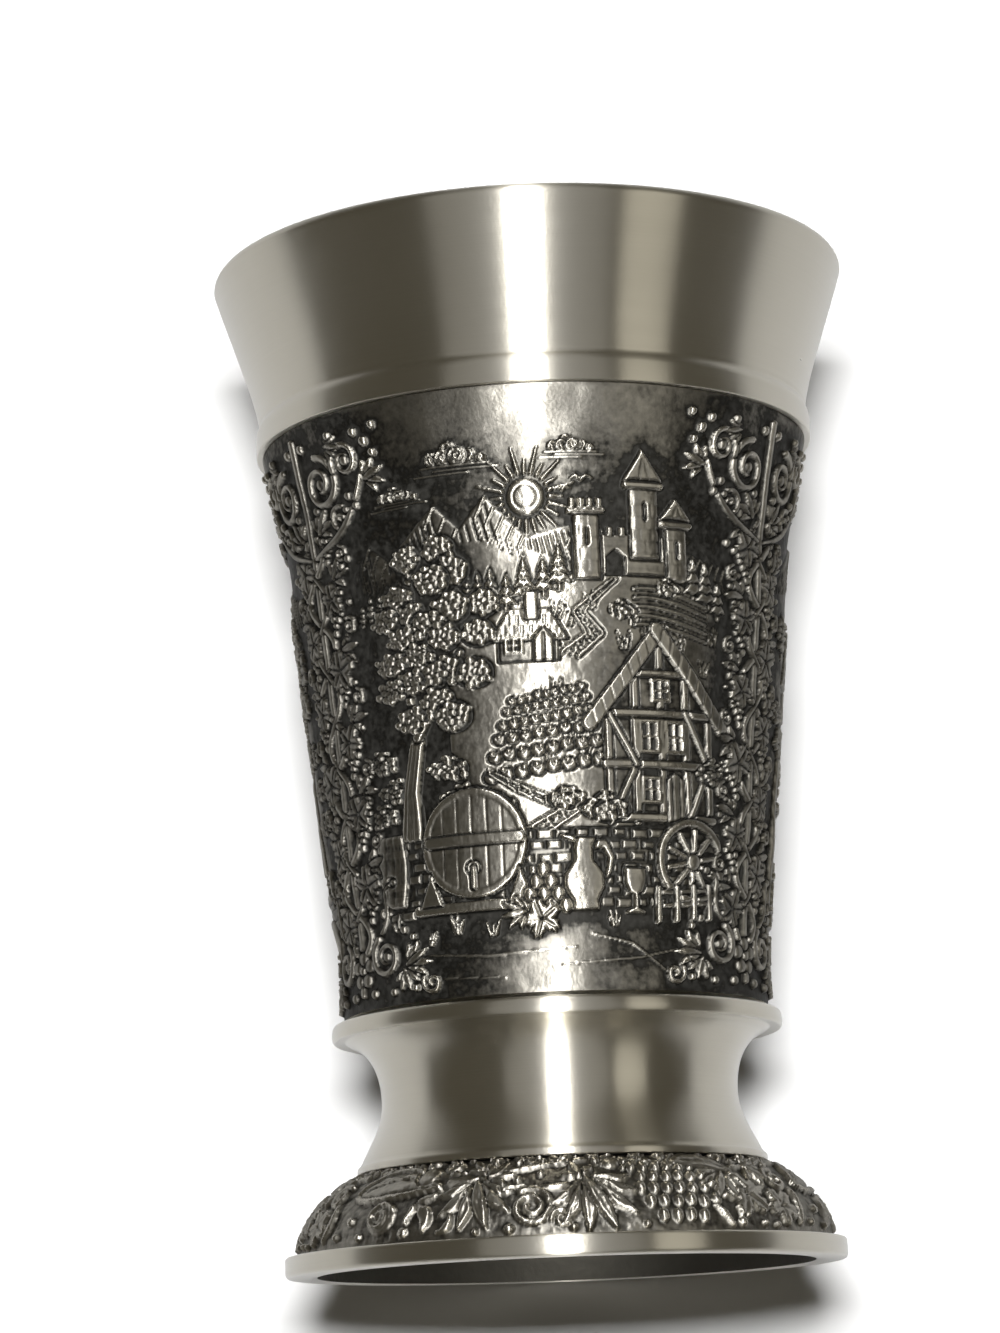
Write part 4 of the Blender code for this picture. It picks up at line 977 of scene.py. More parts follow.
def fir(canvas, cx, foot, rise, height=0.5):
    """A fir: a short trunk under tiers of hanging branches, each tier narrower than the one below it."""
    beam(canvas, [(cx, foot), (cx, foot + rise * 0.3)], 0.3, height * 0.7)
    tiers = max(3, round(rise / 0.8))
    for k in range(tiers):
        low = foot + rise * (0.14 + 0.72 * k / tiers)
        half = rise * 0.24 * (1.0 - k / tiers) + 0.14
        tip = min(low + rise * 0.36, foot + rise)
        hem = ((-half, 0.0), (-half * 0.4, 0.1), (0.0, -0.08), (half * 0.45, 0.1), (half, 0.0))
        panel(canvas, [(cx + dx, low + dy) for dx, dy in hem] + [(cx, tip)], height, 0.16, 0.1)


def cobbles(canvas, low, high, size, seed, height):
    """Paving between two corners: rows of flat stones, each row shifted and each stone a little
    different."""
    rng = np.random.default_rng(seed)
    for row, cy in enumerate(np.arange(low[1], high[1], size * 1.15)):
        for cx in np.arange(low[0] + (row % 2) * size * 0.9, high[0], size * 1.9):
            px, py = cx + rng.uniform(-0.12, 0.12), cy + rng.uniform(-0.06, 0.06)
            x, y, field = near(canvas, (px - size, py - size), (px + size, py + size))
            inside = 0.45 * size - np.maximum(np.abs(x - px) * 0.5, np.abs(y - py)) - 0.08 * rng.uniform(0, 1)
            lay(field, inside, height * rng.uniform(0.7, 1.0), 0.12, 0.05)


def window(canvas, cx, cy, width, rise, height):
    """A small window: a frame round a sunk pane with a cross."""
    x, y, field = near(canvas, (cx - width, cy - rise), (cx + width, cy + rise))
    inside = np.minimum(width / 2 - np.abs(x - cx), rise / 2 - np.abs(y - cy))
    field[...] = np.where(inside > -0.22, height, field)
    field[...] = np.where(inside > 0, np.minimum(field, 0.06), field)
    bars = (np.abs(x - cx) < 0.09) | (np.abs(y - cy) < 0.09)
    field[...] = np.where((inside > 0) & bars, height * 0.8, field)


def house(canvas, left, right, foot, eave, ridge, height):
    """A half-timbered house: a wall under a gable, beams over plaster, small windows, a door and the tiled
    edges of its roof."""
    middle, wide = (left + right) / 2, right - left
    panel(canvas, gabled(left, foot, right, eave, ridge), height * 0.35, 0.15)
    floor = foot + (eave - foot) * 0.52
    posts = np.linspace(left + 0.25, right - 0.25, 5)
    step = posts[1] - posts[0]
    for px in posts:
        top = ridge - abs(px - middle) / (wide / 2) * (ridge - eave)
        beam(canvas, [(px, foot), (px, top - 0.3)], 0.5, height * 0.75)
    for level in (foot + 0.25, floor, eave - 0.1):
        beam(canvas, [(left, level), (right, level)], 0.5, height * 0.8)
    collar = (eave + ridge) / 2
    beam(canvas, [(left + wide * 0.22, collar), (right - wide * 0.22, collar)], 0.42, height * 0.8)
    for a, b in ((0, 1), (3, 4)):
        for line in ([(posts[a], foot), (posts[b], floor)], [(posts[b], floor), (posts[a], eave)]):
            beam(canvas, line, 0.4, height * 0.7)
    for px, py, share, rise in (
        ((posts[1] + posts[2]) / 2, (floor + eave) / 2 + 0.1, 0.52, (eave - floor) * 0.5),
        ((posts[2] + posts[3]) / 2, (floor + eave) / 2 + 0.1, 0.52, (eave - floor) * 0.5),
        (middle, eave + (ridge - eave) * 0.28, 0.5, (ridge - eave) * 0.22),
        ((posts[1] + posts[2]) / 2, (foot + floor) / 2 + 0.2, 0.5, (floor - foot) * 0.36),
    ):
        window(canvas, px, py, step * share, rise, height * 0.85)
    door, half = (posts[2] + posts[3]) / 2, step * 0.36
    panel(canvas, gabled(door - half, foot, door + half, floor - 0.9, floor - 0.45), height * 0.55, 0.1)
    for k in (-0.15, 0.15):
        cut(canvas, [(door + k * step, foot + 0.1), (door + k * step, floor - 0.8)], 0.09, 0.16)
    for side in (-1, 1):
        low = np.array((middle + side * (wide / 2 + 0.9), eave - 0.75))
        high = np.array((middle - side * 0.1, ridge + 0.35))
        beam(canvas, [low, high], 0.95, height)
        for t in np.linspace(0.06, 0.94, max(4, round(wide))):
            px, py = low + (high - low) * t
            cut(canvas, [(px - 0.1 * side, py - 0.5), (px + 0.16 * side, py + 0.5)], 0.1, 0.2)


def barn(canvas, left, right, foot, eave, ridge, height):
    """A long house seen from its eaves side, with a tiled roof, a chimney, a row of windows and a gate."""
    panel(canvas, box(left, foot, right, eave), height * 0.4, 0.12)
    roof = [(left - 0.6, eave - 0.3), (right + 0.6, eave - 0.3), (right - 0.5, ridge), (left + 0.7, ridge)]
    x, y, field, inside = panel(canvas, roof, height * 0.85, 0.12)
    courses(field, inside, x, y - eave + 0.3, 0.55, 0.62, (0.2, 0.13), (0.16, 0.10))
    count = max(2, int((right - left) / 1.9))
    for k in range(count):
        cx = left + (right - left) * (k + 0.5) / count
        if k == count // 2:
            panel(canvas, gabled(cx - 0.6, foot, cx + 0.6, foot + 1.4, foot + 2.0), height * 0.6, 0.1)
            cut(canvas, [(cx, foot), (cx, foot + 1.8)], 0.1, 0.2)
        else:
            window(canvas, cx, (foot + eave) / 2 + 0.2, 0.75, (eave - foot) * 0.42, height * 0.7)
    panel(canvas, box(right - 2.0, ridge - 0.6, right - 1.2, ridge + 1.1), height * 0.8, 0.1)


def tower(canvas, cx, foot, top, wide, height, roof):
    """A round castle tower with stone courses and slits, ending in merlons or in a pointed roof."""
    u, v, field, inside = vessel(canvas, cx, foot, [(0, wide), (top - foot, wide)], height, 0.15)
    courses(field, inside, u, v, 0.8, 0.75, (0.16, 0.07), (0.12, 0.06))
    beam(canvas, [(cx - wide - 0.15, top), (cx + wide + 0.15, top)], 0.5, height * 1.1)
    cut(canvas, [(cx, top - 1.2), (cx, top - 2.1)], 0.2, height * 0.8)
    if roof:
        eaves = [(cx - wide - 0.4, top + 0.25), (cx + wide + 0.4, top + 0.25)]
        panel(canvas, [*eaves, (cx, top + 0.3 + roof)], height * 1.1, 0.3)
        for low, high in ((-0.3, -0.05), (0.35, 0.05)):
            cut(canvas, [(cx + low, top + 0.3), (cx + high, top + roof * 0.8)], 0.08, 0.12)
        return
    for k in cx + np.linspace(-wide, wide, 4):
        panel(canvas, box(k - 0.2, top + 0.1, k + 0.2, top + 0.75), height * 1.1, 0.1, 0.05)


def castle(canvas, cx, foot, height):
    """Walls with merlons between a tall round keep and two lower towers."""
    x, y, field, inside = panel(canvas, box(cx - 3.4, foot, cx + 3.2, foot + 2.5), height * 0.6, 0.12)
    score(field, inside, (y - foot) / 0.7, 0.15, 0.06)
    for k in np.arange(cx - 3.2, cx + 3.1, 0.8):
        panel(canvas, box(k, foot + 2.4, k + 0.4, foot + 3.0), height * 0.6, 0.1, 0.05)
    tower(canvas, cx + 0.9, foot + 1.0, foot + 5.6, 1.0, height * 0.9, 2.0)
    tower(canvas, cx - 2.9, foot - 0.3, foot + 4.0, 0.85, height, 0)
    tower(canvas, cx + 3.1, foot - 0.3, foot + 3.3, 0.8, height, 1.4)
    panel(canvas, gabled(cx - 1.7, foot, cx - 0.5, foot + 1.1, foot + 1.6), 0.05, 0.1, 0.05)


def hill(canvas, points, foot, height):
    """Raises land below a line of points, down to a foot. It fades out towards the pillars."""
    corners = list(points) + [(points[-1][0], foot), (points[0][0], foot)]
    x, y, field = near(canvas, *bound(corners, 0.12))
    fade = np.clip((10.9 + 0.115 * y - np.abs(x)) / 2.5, 0.0, 1.0)
    lay(field, polygon_inside(x, y, corners), height * fade, 0.35, 0.12)


def vine_rows(canvas, low, high, rows, rise, seed, height):
    """Rows of vines that climb a slope: staked bushes along lines from low to high, each row higher up and
    a little smaller than the one before it."""
    rng = np.random.default_rng(seed)
    for row in range(rows - 1, -1, -1):
        share = row / max(1, rows - 1)
        size = 0.52 - 0.22 * share
        climb = rise * row * (1.0 - 0.25 * share)
        start = np.asarray(low, float) + (0.3 * row, climb)
        end = np.asarray(high, float) + (-0.2 * row, climb)
        count = int(np.linalg.norm(end - start) / (size * 1.7))
        for k in range(count + 1):
            px, py = start + (end - start) * k / max(1, count)
            berry(canvas, px, py + rng.uniform(-0.08, 0.08), size, height * rng.uniform(0.75, 1.0), 0.85, 0.1)
            px += rng.uniform(-0.2, 0.2)
            berry(canvas, px, py + size * 0.45, size * 0.42, height * 1.15, 1.0, 0.05)


def fence(canvas, points, rise, height):
    """Two rails on posts along a line of points."""
    points = np.asarray(points, float)
    for level in (0.45, 0.85):
        stroke(canvas, points + (0, rise * level), (0.15,), height * 0.8, 0.08)
    for px, py in points:
        stroke(canvas, [(px, py), (px + 0.05, py + rise)], (0.22, 0.17), height, 0.1)


def cloud(canvas, cx, cy, size, height):
    """A cloud: a heap of curls over a few long lines."""
    for dx, dy, r in (
        (-0.3, 0.75, 0.8), (-1.7, 0.1, 0.75), (1.5, 0.1, 0.8),
        (-0.7, 0.15, 0.9), (0.5, 0.2, 0.95), (2.5, -0.15, 0.5),
    ):
        px, py, radius = cx + dx * size, cy + dy * size, r * size
        berry(canvas, px, py, radius, height, 0.85, 0.1)
        tendril(canvas, px, py, radius * 0.75, 200, -1.1, 20, (0.07, 0.11), height + 0.12, 0.08)
    for k, (left, right) in enumerate(((-2.8, 3.2), (-1.6, 4.0), (-3.4, 1.4))):
        level = cy - (0.55 + 0.32 * k) * size
        line = [(cx + left * size, level), (cx + right * size, level)]
        stroke(canvas, line, (0.05, 0.13, 0.05), height, 0.06)


def sun(canvas, cx, cy, radius, height):
    """A sun: a disc in a ring, with long and short rays by turns."""
    for k in range(24):
        c, s = math.cos(math.tau * k / 24), math.sin(math.tau * k / 24)
        ray = [(cx + far * c, cy + far * s) for far in (radius * 1.3, radius * (2.7 if k % 2 else 2.0))]
        stroke(canvas, ray, (0.12, 0.05), height * 0.7, 0.06)
    berry(canvas, cx, cy, radius, height)
    cut(canvas, circle(cx, cy, 0.66 * radius, 30), 0.1, 0.1)


def slopes(canvas, ridge, length, height):
    """Raised lines that run down from a mountain's ridge on its lit side, each shorter than the last one,
    and fine hatching down its other side."""
    for (x0, y0), (x1, y1) in zip(ridge, ridge[1:]):
        lit = y1 < y0
        for k in np.linspace(0.0, 0.92, max(2, round((x1 - x0) / (0.55 if lit else 0.34)))):
            px, py = x0 + (x1 - x0) * k, y0 + (y1 - y0) * k - 0.2
            if lit:
                reach = length * (1.0 - 0.5 * k)
                line = [(px, py), (px - 0.25 * reach, py - 0.5 * reach), (px - 0.1 * reach, py - reach)]
                stroke(canvas, line, (0.09, 0.05), height + 0.1, 0.04)
            else:
                reach = length * (0.25 + 0.75 * k)
                cut(canvas, [(px + 0.1, py - 0.15), (px + 0.3 * reach, py - reach)], 0.09, 0.13)


def woods(canvas, points, seed, height):
    """A line of small firs along points, each a little different."""
    rng = np.random.default_rng(seed)
    x, y = np.asarray(points, float).T
    for cx in np.arange(x[0], x[-1], 0.78):
        fir(canvas, cx + rng.uniform(-0.1, 0.1), np.interp(cx, x, y) - 0.3, rng.uniform(1.3, 2.1), height)


def grass(canvas, cx, cy, seed, height=0.4):
    """A tuft of blades."""
    rng = np.random.default_rng(seed)
    for k in range(5):
        lean = rng.uniform(-0.6, 0.6)
        blade = [(cx + lean * 0.4, cy), (cx + lean, cy + rng.uniform(0.5, 1.1))]
        stroke(canvas, blade, (0.12, 0.05), height, 0.05)


def meadow(canvas, low, high, count, seed, height):
    """Tufts of grass strewn between two corners."""
    rng = np.random.default_rng(seed)
    for k in range(count):
        grass(canvas, rng.uniform(low[0], high[0]), rng.uniform(low[1], high[1]), seed + k, height)


def furrows(canvas, low, high, rise, height):
    """A ploughed strip: ridges that run side by side from low to high, over the given rise."""
    (x0, y0), (x1, y1) = low, high
    for k in np.arange(0.0, rise, 0.55):
        bend = 0.25 + 0.05 * k
        ends = ((x0, y0 + k), (x0 + 1.2, y0 + k + bend), (x1 - 1.2, y1 + k + bend), (x1, y1 + k))
        stem(canvas, *ends, 10, (0.12, 0.17, 0.12), height, 0.06)


def path(canvas, points, wide, height):
    """A path: two winding banks with stones between them, narrower the farther it runs."""
    steps = np.linspace(0.0, 1.0, 40)
    at = np.linspace(0.0, 1.0, len(points))
    line = np.stack([np.interp(steps, at, side) for side in np.asarray(points, float).T], axis=1)
    line[1:-1] = (line[:-2] + 2.0 * line[1:-1] + line[2:]) / 4.0
    half = wide * (1.0 - 0.75 * steps)
    for side in (-1, 1):
        stroke(canvas, line + np.stack([side * half, 0.0 * half], axis=1), (0.17, 0.07), height, 0.08)
    for k, ((px, py), reach) in enumerate(zip(line[1:-6:2], half[1:-6:2])):
        berry(canvas, px + 0.35 * reach * (-1) ** k, py, 0.3 * reach + 0.05, height * 0.8, 0.5, 0.05)


def bird(canvas, cx, cy, size, height):
    """A bird far away: two bent wings."""
    for side in (-1, 1):
        wing = [(cx, cy), (cx + side * size * 0.5, cy + size * 0.35), (cx + side * size, cy + size * 0.1)]
        stroke(canvas, wing, (0.12, 0.05), height, 0.05)


def village_picture(canvas):
    """The front: a tree and casks before a village street, vineyards, and a castle on its hill."""
    ridge = [(-14, 26.4), (-11.5, 28.8), (-10, 27.6), (-6.6, 30.6), (-4.9, 29.0), (-3.2, 30.9)]
    ridge += [(-0.6, 28.2), (2.5, 28.9), (14, 26.6)]
    near_hill = [(-6, 21.6), (-2.6, 23.6), (0.4, 24.8), (2.5, 26.0), (7.5, 26.2), (10.5, 24.8), (14, 23.5)]
    sun(canvas, -0.6, 30.6, 1.15, 0.34)
    hill(canvas, ridge, 20, 0.13)
    slopes(canvas, ridge, 2.6, 0.13)
    each(canvas, cloud, (-5.2, 33.3, 0.75, 0.3), (2.2, 33.6, 0.55, 0.28), (-9.2, 31.4, 0.55, 0.26))
    each(canvas, bird, (2.9, 31.6, 0.7, 0.3), (1.7, 31.0, 0.5, 0.26))
    woods(canvas, [(-12.4, 24.2), (-8.0, 25.4), (-3.0, 24.6)], 31, 0.34)
    hill(canvas, near_hill, 10, 0.3)
    meadow(canvas, (-2.0, 14.0), (3.4, 24.0), 16, 90, 0.42)
    meadow(canvas, (5.0, 19.5), (11.8, 23.0), 10, 120, 0.42)
    castle(canvas, 6.0, 25.7, 0.55)
    each(canvas, fir, (-2.0, 23.6, 2.4), (-0.9, 24.0, 3.0), (0.3, 24.4, 2.5), (1.3, 24.8, 2.9))
    each(canvas, fir, (10.3, 24.4, 2.8), (11.3, 23.9, 3.1), (12.3, 23.4, 2.4))
    path(canvas, [(1.6, 20.6), (3.4, 22.0), (2.4, 23.4), (4.8, 25.4)], 0.7, 0.42)
    furrows(canvas, (6.0, 22.6), (11.2, 21.8), 2.4, 0.42)
    each(canvas, bush, (8.4, 24.9, 0.5, 41), (5.2, 23.4, 0.55, 42))
    barn(canvas, -2.6, 1.1, 20.4, 22.0, 23.6, 0.5)
    vine_rows(canvas, (-3.4, 13.4), (3.4, 14.2), 6, 1.2, 5, 0.5)
    path(canvas, [(-1.2, 9.6), (1.6, 11.2), (-1.4, 12.4), (-3.4, 13.6)], 0.9, 0.4)
    house(canvas, 3.7, 11.3, 10.4, 17.2, 22.0, 0.72)
    each(canvas, bush, (11.4, 13.4, 0.9, 44), (-11.3, 14.9, 0.85, 50), (-10.2, 13.0, 0.85, 51))
    each(canvas, bush, (-11.4, 11.6, 0.85, 52), (-6.2, 14.0, 0.85, 53), (-5.4, 12.2, 0.85, 54))
    bush(canvas, -3.2, 11.4, 0.85, 55)
    tree(canvas, (-8.9, 9.4), (-8.2, 16.3), (-7.1, 22.4), (4.1, 5.8), 11, 0.8)
    each(canvas, bush, (3.6, 11.0, 0.95, 3, 0.6), (1.2, 11.7, 0.7, 4, 0.55))
    hill(canvas, [(-14, 10.2), (-9, 9.8), (-3, 10.2), (2, 9.6), (8, 10.4), (14, 10.0)], 5.2, 0.14)
    cobbles(canvas, (-12.0, 5.4), (12.0, 9.8), 0.62, 6, 0.3)
    barrel(canvas, -11.0, 5.9, 4.6, 1.6, 0.62)
    barrel_head(canvas, -4.7, 9.4, 3.4, 0.85)
    beam(canvas, [(-8.6, 5.5), (-0.9, 5.5)], 0.7, 0.7)
    for px in (-7.6, -1.8):
        panel(canvas, [(px - 0.8, 5.7), (px + 0.8, 5.7), (px, 7.8)], 0.6, 0.15)
    wheel(canvas, 9.5, 8.0, 2.7, 10, 0.72)
    jug(canvas, 2.1, 4.9, 2.1, 0.85, 1)
    goblet(canvas, 5.3, 4.7, 1.6, 0.7)
    grape_bunch(canvas, -1.4, 6.6, 3.0, 3.0, 60, 0.42, 0.62)
    vine_leaf(canvas, -0.6, 4.5, 1.4, 20, 0.6)
    fan_leaf(canvas, -1.6, 5.0, 1.5, 100, 0.55)
    fence(canvas, [(6.8, 4.3), (8.1, 4.4), (9.4, 4.5), (10.7, 4.6), (12.0, 4.7)], 2.0, 0.6)
    each(canvas, grass, (-10.4, 4.6, 0), (-6.0, 4.0, 1), (3.9, 4.0, 2), (-3.6, 3.7, 3), (-8.0, 3.4, 4))
    for points in (
        ((-9.5, 2.9), (-4, 2.4), (1.5, 2.7)), ((0.5, 1.6), (5.5, 2.0), (10.0, 3.0)),
        ((-8.0, 1.3), (-3.0, 1.0)), ((2.5, 3.5), (5.0, 2.9), (7.6, 1.0)),
    ):
        stroke(canvas, points, (0.04, 0.1, 0.04), 0.14, 0.05)


def mill_picture(canvas):
    """The second side: a mill with its wheel by a stream, a bridge, trees and a terraced hill."""
    ridge = [(-14, 25.5), (-9, 28.0), (-6.4, 26.2), (-1.6, 29.8), (0.6, 28.6), (4, 31.2), (8, 28.8), (14, 27)]
    hill(canvas, ridge, 16, 0.13)
    slopes(canvas, ridge, 2.6, 0.13)
    each(canvas, cloud, (0.4, 33.4, 0.75, 0.3), (-8.4, 31.0, 0.6, 0.26), (8.6, 31.6, 0.5, 0.26))
    each(canvas, bird, (4.6, 33.4, 0.7, 0.3), (-1.8, 31.6, 0.5, 0.26))
    hill(canvas, [(-14, 20.0), (-8, 22.5), (-2, 23.0), (5, 21.0), (14, 22.5)], 9.5, 0.28)
    meadow(canvas, (-10.0, 10.0), (8.0, 21.5), 40, 150, 0.4)
    woods(canvas, [(4.6, 21.0), (8.0, 21.6), (12.0, 22.0)], 32, 0.42)
    vine_rows(canvas, (-11.4, 17.2), (-3.4, 18.2), 4, 1.15, 8, 0.48)
    tower(canvas, -4.6, 21.4, 28.6, 1.1, 0.5, 3.4)
    barn(canvas, -3.2, 2.2, 21.0, 23.6, 26.2, 0.5)
    each(canvas, fir, (-10.2, 21.2, 2.8), (-9.0, 21.6, 3.4), (-7.6, 22.0, 4.0))
    each(canvas, fir, (-6.4, 21.8, 3.0), (3.4, 21.6, 3.2), (11.4, 21.4, 3.6))
    furrows(canvas, (-1.8, 17.4), (3.6, 17.8), 3.2, 0.42)
    path(canvas, [(-0.6, 13.4), (2.2, 14.8), (0.2, 16.0), (2.6, 17.4)], 0.8, 0.4)
    house(canvas, -9.6, -2.2, 9.0, 15.0, 19.6, 0.75)
    each(canvas, bush, (-1.2, 15.6, 0.85, 60), (11.0, 12.4, 0.85, 61), (11.2, 14.6, 0.85, 62))
    each(canvas, bush, (10.8, 17.0, 0.85, 63), (5.4, 14.6, 0.85, 64))
    each(canvas, bush, (-11.2, 12.6, 0.85, 65), (-11.4, 15.0, 0.85, 66))
    tree(canvas, (8.6, 9.6), (8.0, 16.4), (7.4, 22.4), (4.0, 5.6), 23, 0.8)
    each(canvas, bush, (4.9, 12.2, 1.0, 7), (3.1, 14.2, 0.9, 9), (5.6, 10.4, 0.8, 10))
    cobbles(canvas, (-12.0, 6.4), (-3.2, 9.0), 0.6, 3, 0.3)
    wheel(canvas, 0.6, 9.6, 3.5, 12, 0.8)
    for k in range(6):
        t = np.linspace(-9 + k, 11 - 2.2 * k, 50)
        level = 1.0 + 0.95 * k + 0.22 * np.sin(t * 1.9 + k)
        stroke(canvas, np.stack([t, level], axis=1), (0.05, 0.14, 0.05), 0.3, 0.06)
    bridge = box(4.0, 3.6, 11.8, 7.8)
    panel(canvas, bridge, 0.4, 0.15)
    hatch(canvas, bridge, 0.75, 0.16)
    x, y, field = near(canvas, (4.6, 3.4), (11.2, 6.6))
    field[np.hypot((x - 7.9) / 2.9, (y - 3.5) / 2.6) < 1.0] = 0.0
    arch = np.linspace(0, math.pi, 18)
    stroke(canvas, np.stack([7.9 + 3.0 * np.cos(arch), 3.6 + 2.8 * np.sin(arch)], axis=1), (0.34,), 0.66)
    beam(canvas, [(3.6, 7.9), (12.0, 7.9)], 0.6, 0.7)
    fence(canvas, [(4.0, 8.1), (5.6, 8.1), (7.2, 8.1), (8.8, 8.1), (10.4, 8.1)], 1.4, 0.5)
    each(canvas, barrel, (-10.2, 4.9, 4.0, 1.5, 0.7), (-6.6, 4.4, 3.2, 1.2, 0.7))
    grass(canvas, -4.6, 4.6, 3)
    grape_bunch(canvas, -8.6, 4.6, 2.4, 2.6, 0, 0.38, 0.62)
    vine_leaf(canvas, -8.6, 4.7, 1.3, 90, 0.6)


def harvest_picture(canvas):
    """The third side: a wine press under an arbour, a laden cart, a jug and a barn below the hills."""
    ridge = [(-14, 27.2), (-8.6, 30.4), (-6.4, 28.6), (-3.6, 29.4), (-1.2, 27.6), (3, 28.6)]
    ridge += [(7.4, 31.2), (9.6, 29.0), (14, 28.5)]
    sun(canvas, -1.0, 30.4, 1.1, 0.34)
    hill(canvas, ridge, 18, 0.13)
    slopes(canvas, ridge, 2.8, 0.13)
    each(canvas, cloud, (-5.4, 33.2, 0.7, 0.3), (3.6, 33.4, 0.65, 0.28), (9.4, 32.2, 0.5, 0.26))
    bird(canvas, 1.2, 32.0, 0.6, 0.28)
    hill(canvas, [(-14, 23.5), (-6, 24.4), (1, 22.8), (8, 24.8), (14, 24.0)], 11.5, 0.26)
    meadow(canvas, (-10.0, 12.5), (11.0, 22.0), 40, 200, 0.4)
    woods(canvas, [(-12.0, 23.6), (-6.0, 24.2), (-1.4, 23.2)], 33, 0.42)
    barn(canvas, 3.6, 9.2, 22.6, 24.6, 26.8, 0.5)
    tower(canvas, 2.6, 22.6, 27.6, 0.85, 0.5, 2.6)
    each(canvas, fir, (-11.4, 22.4, 3.0), (-0.8, 22.4, 3.0), (0.3, 22.6, 3.8))
    each(canvas, fir, (1.3, 22.4, 2.8), (10.4, 23.4, 3.2), (11.6, 23.2, 2.6))
    furrows(canvas, (0.2, 20.4), (4.2, 20.8), 1.6, 0.42)
    path(canvas, [(4.6, 19.4), (6.6, 20.4), (5.0, 21.4), (6.6, 22.4)], 0.6, 0.4)
    furrows(canvas, (7.6, 20.4), (11.4, 20.4), 2.2, 0.42)
    vine_rows(canvas, (0.6, 14.4), (11.2, 15.2), 5, 1.15, 9, 0.5)
    barn(canvas, -10.0, -1.6, 17.4, 21.0, 24.6, 0.6)
    each(canvas, bush, (-11.4, 18.6, 0.85, 70), (-0.4, 18.8, 0.85, 71), (0.8, 13.0, 0.85, 72))
    each(canvas, bush, (3.2, 13.0, 0.85, 73), (11.2, 13.4, 0.85, 74), (0.4, 11.2, 0.85, 75))
    for px in (-10.2, -1.4):
        stroke(canvas, [(px, 5.2), (px, 16.8)], (0.34,), 0.6)
    beam(canvas, [(-11.4, 16.8), (-0.2, 16.8)], 0.6, 0.65)
    for k, px in enumerate(np.arange(-10.4, -0.8, 1.55)):
        vine_leaf(canvas, px, 16.9, 1.25, 40 * (k % 3) - 30, 0.62)
        if k % 2:
            grape_bunch(canvas, px, 16.0, 1.9, 2.6, 0, 0.34, 0.6)
    cobbles(canvas, (-12.0, 3.2), (12.0, 6.4), 0.62, 8, 0.28)
    furrows(canvas, (-9.6, 10.4), (-6.6, 10.4), 1.6, 0.3)
    panel(canvas, [(-8.6, 5.0), (-3.0, 5.0), (-3.4, 9.4), (-8.2, 9.4)], 0.55, 0.15)
    for k in np.linspace(-8.1, -3.5, 7):
        cut(canvas, [(k, 5.2), (k, 9.2)], 0.1, 0.2)
    each(canvas, beam, ([(-8.8, 6.2), (-2.8, 6.2)], 0.5, 0.7), ([(-8.6, 8.4), (-3.0, 8.4)], 0.5, 0.7))
    stroke(canvas, [(-5.8, 9.2), (-5.8, 13.6)], (0.36,), 0.7)
    beam(canvas, [(-8.6, 13.0), (-3.0, 12.2)], 0.55, 0.75)
    bush(canvas, 0.4, 8.8, 1.0, 21, 0.55)
    panel(canvas, [(2.0, 8.0), (10.6, 8.8), (11.2, 11.6), (1.4, 10.6)], 0.55, 0.15)
    for k in np.linspace(2.6, 10.2, 7):
        cut(canvas, [(k, 8.3), (k, 11.2)], 0.1, 0.2)
    for k in range(6):
        px = 2.9 + 1.35 * k
        berry(canvas, px, 11.5 + 0.5 * math.sin(k), 0.85, 0.6, 0.8)
        grape_bunch(canvas, px, 12.8 + 0.3 * math.sin(k), 1.4, 1.4, 10, 0.28, 0.68)
    each(canvas, wheel, (3.9, 6.4, 2.4, 10, 0.75), (9.4, 6.7, 2.4, 10, 0.75))
    jug(canvas, -1.1, 3.4, 1.5, 0.75, -1)
    goblet(canvas, 0.8, 3.3, 1.1, 0.6)
    fence(canvas, [(-11.5, 2.6), (-9.8, 2.5), (-8.1, 2.4), (-6.4, 2.4), (-4.7, 2.5)], 2.0, 0.55)
    each(canvas, grass, (2.6, 2.6, 6), (6.6, 2.8, 7), (-3.0, 1.6, 8))
    stroke(canvas, [(-6, 0.9), (0, 1.2), (7, 0.8)], (0.05, 0.12, 0.05), 0.14, 0.05)


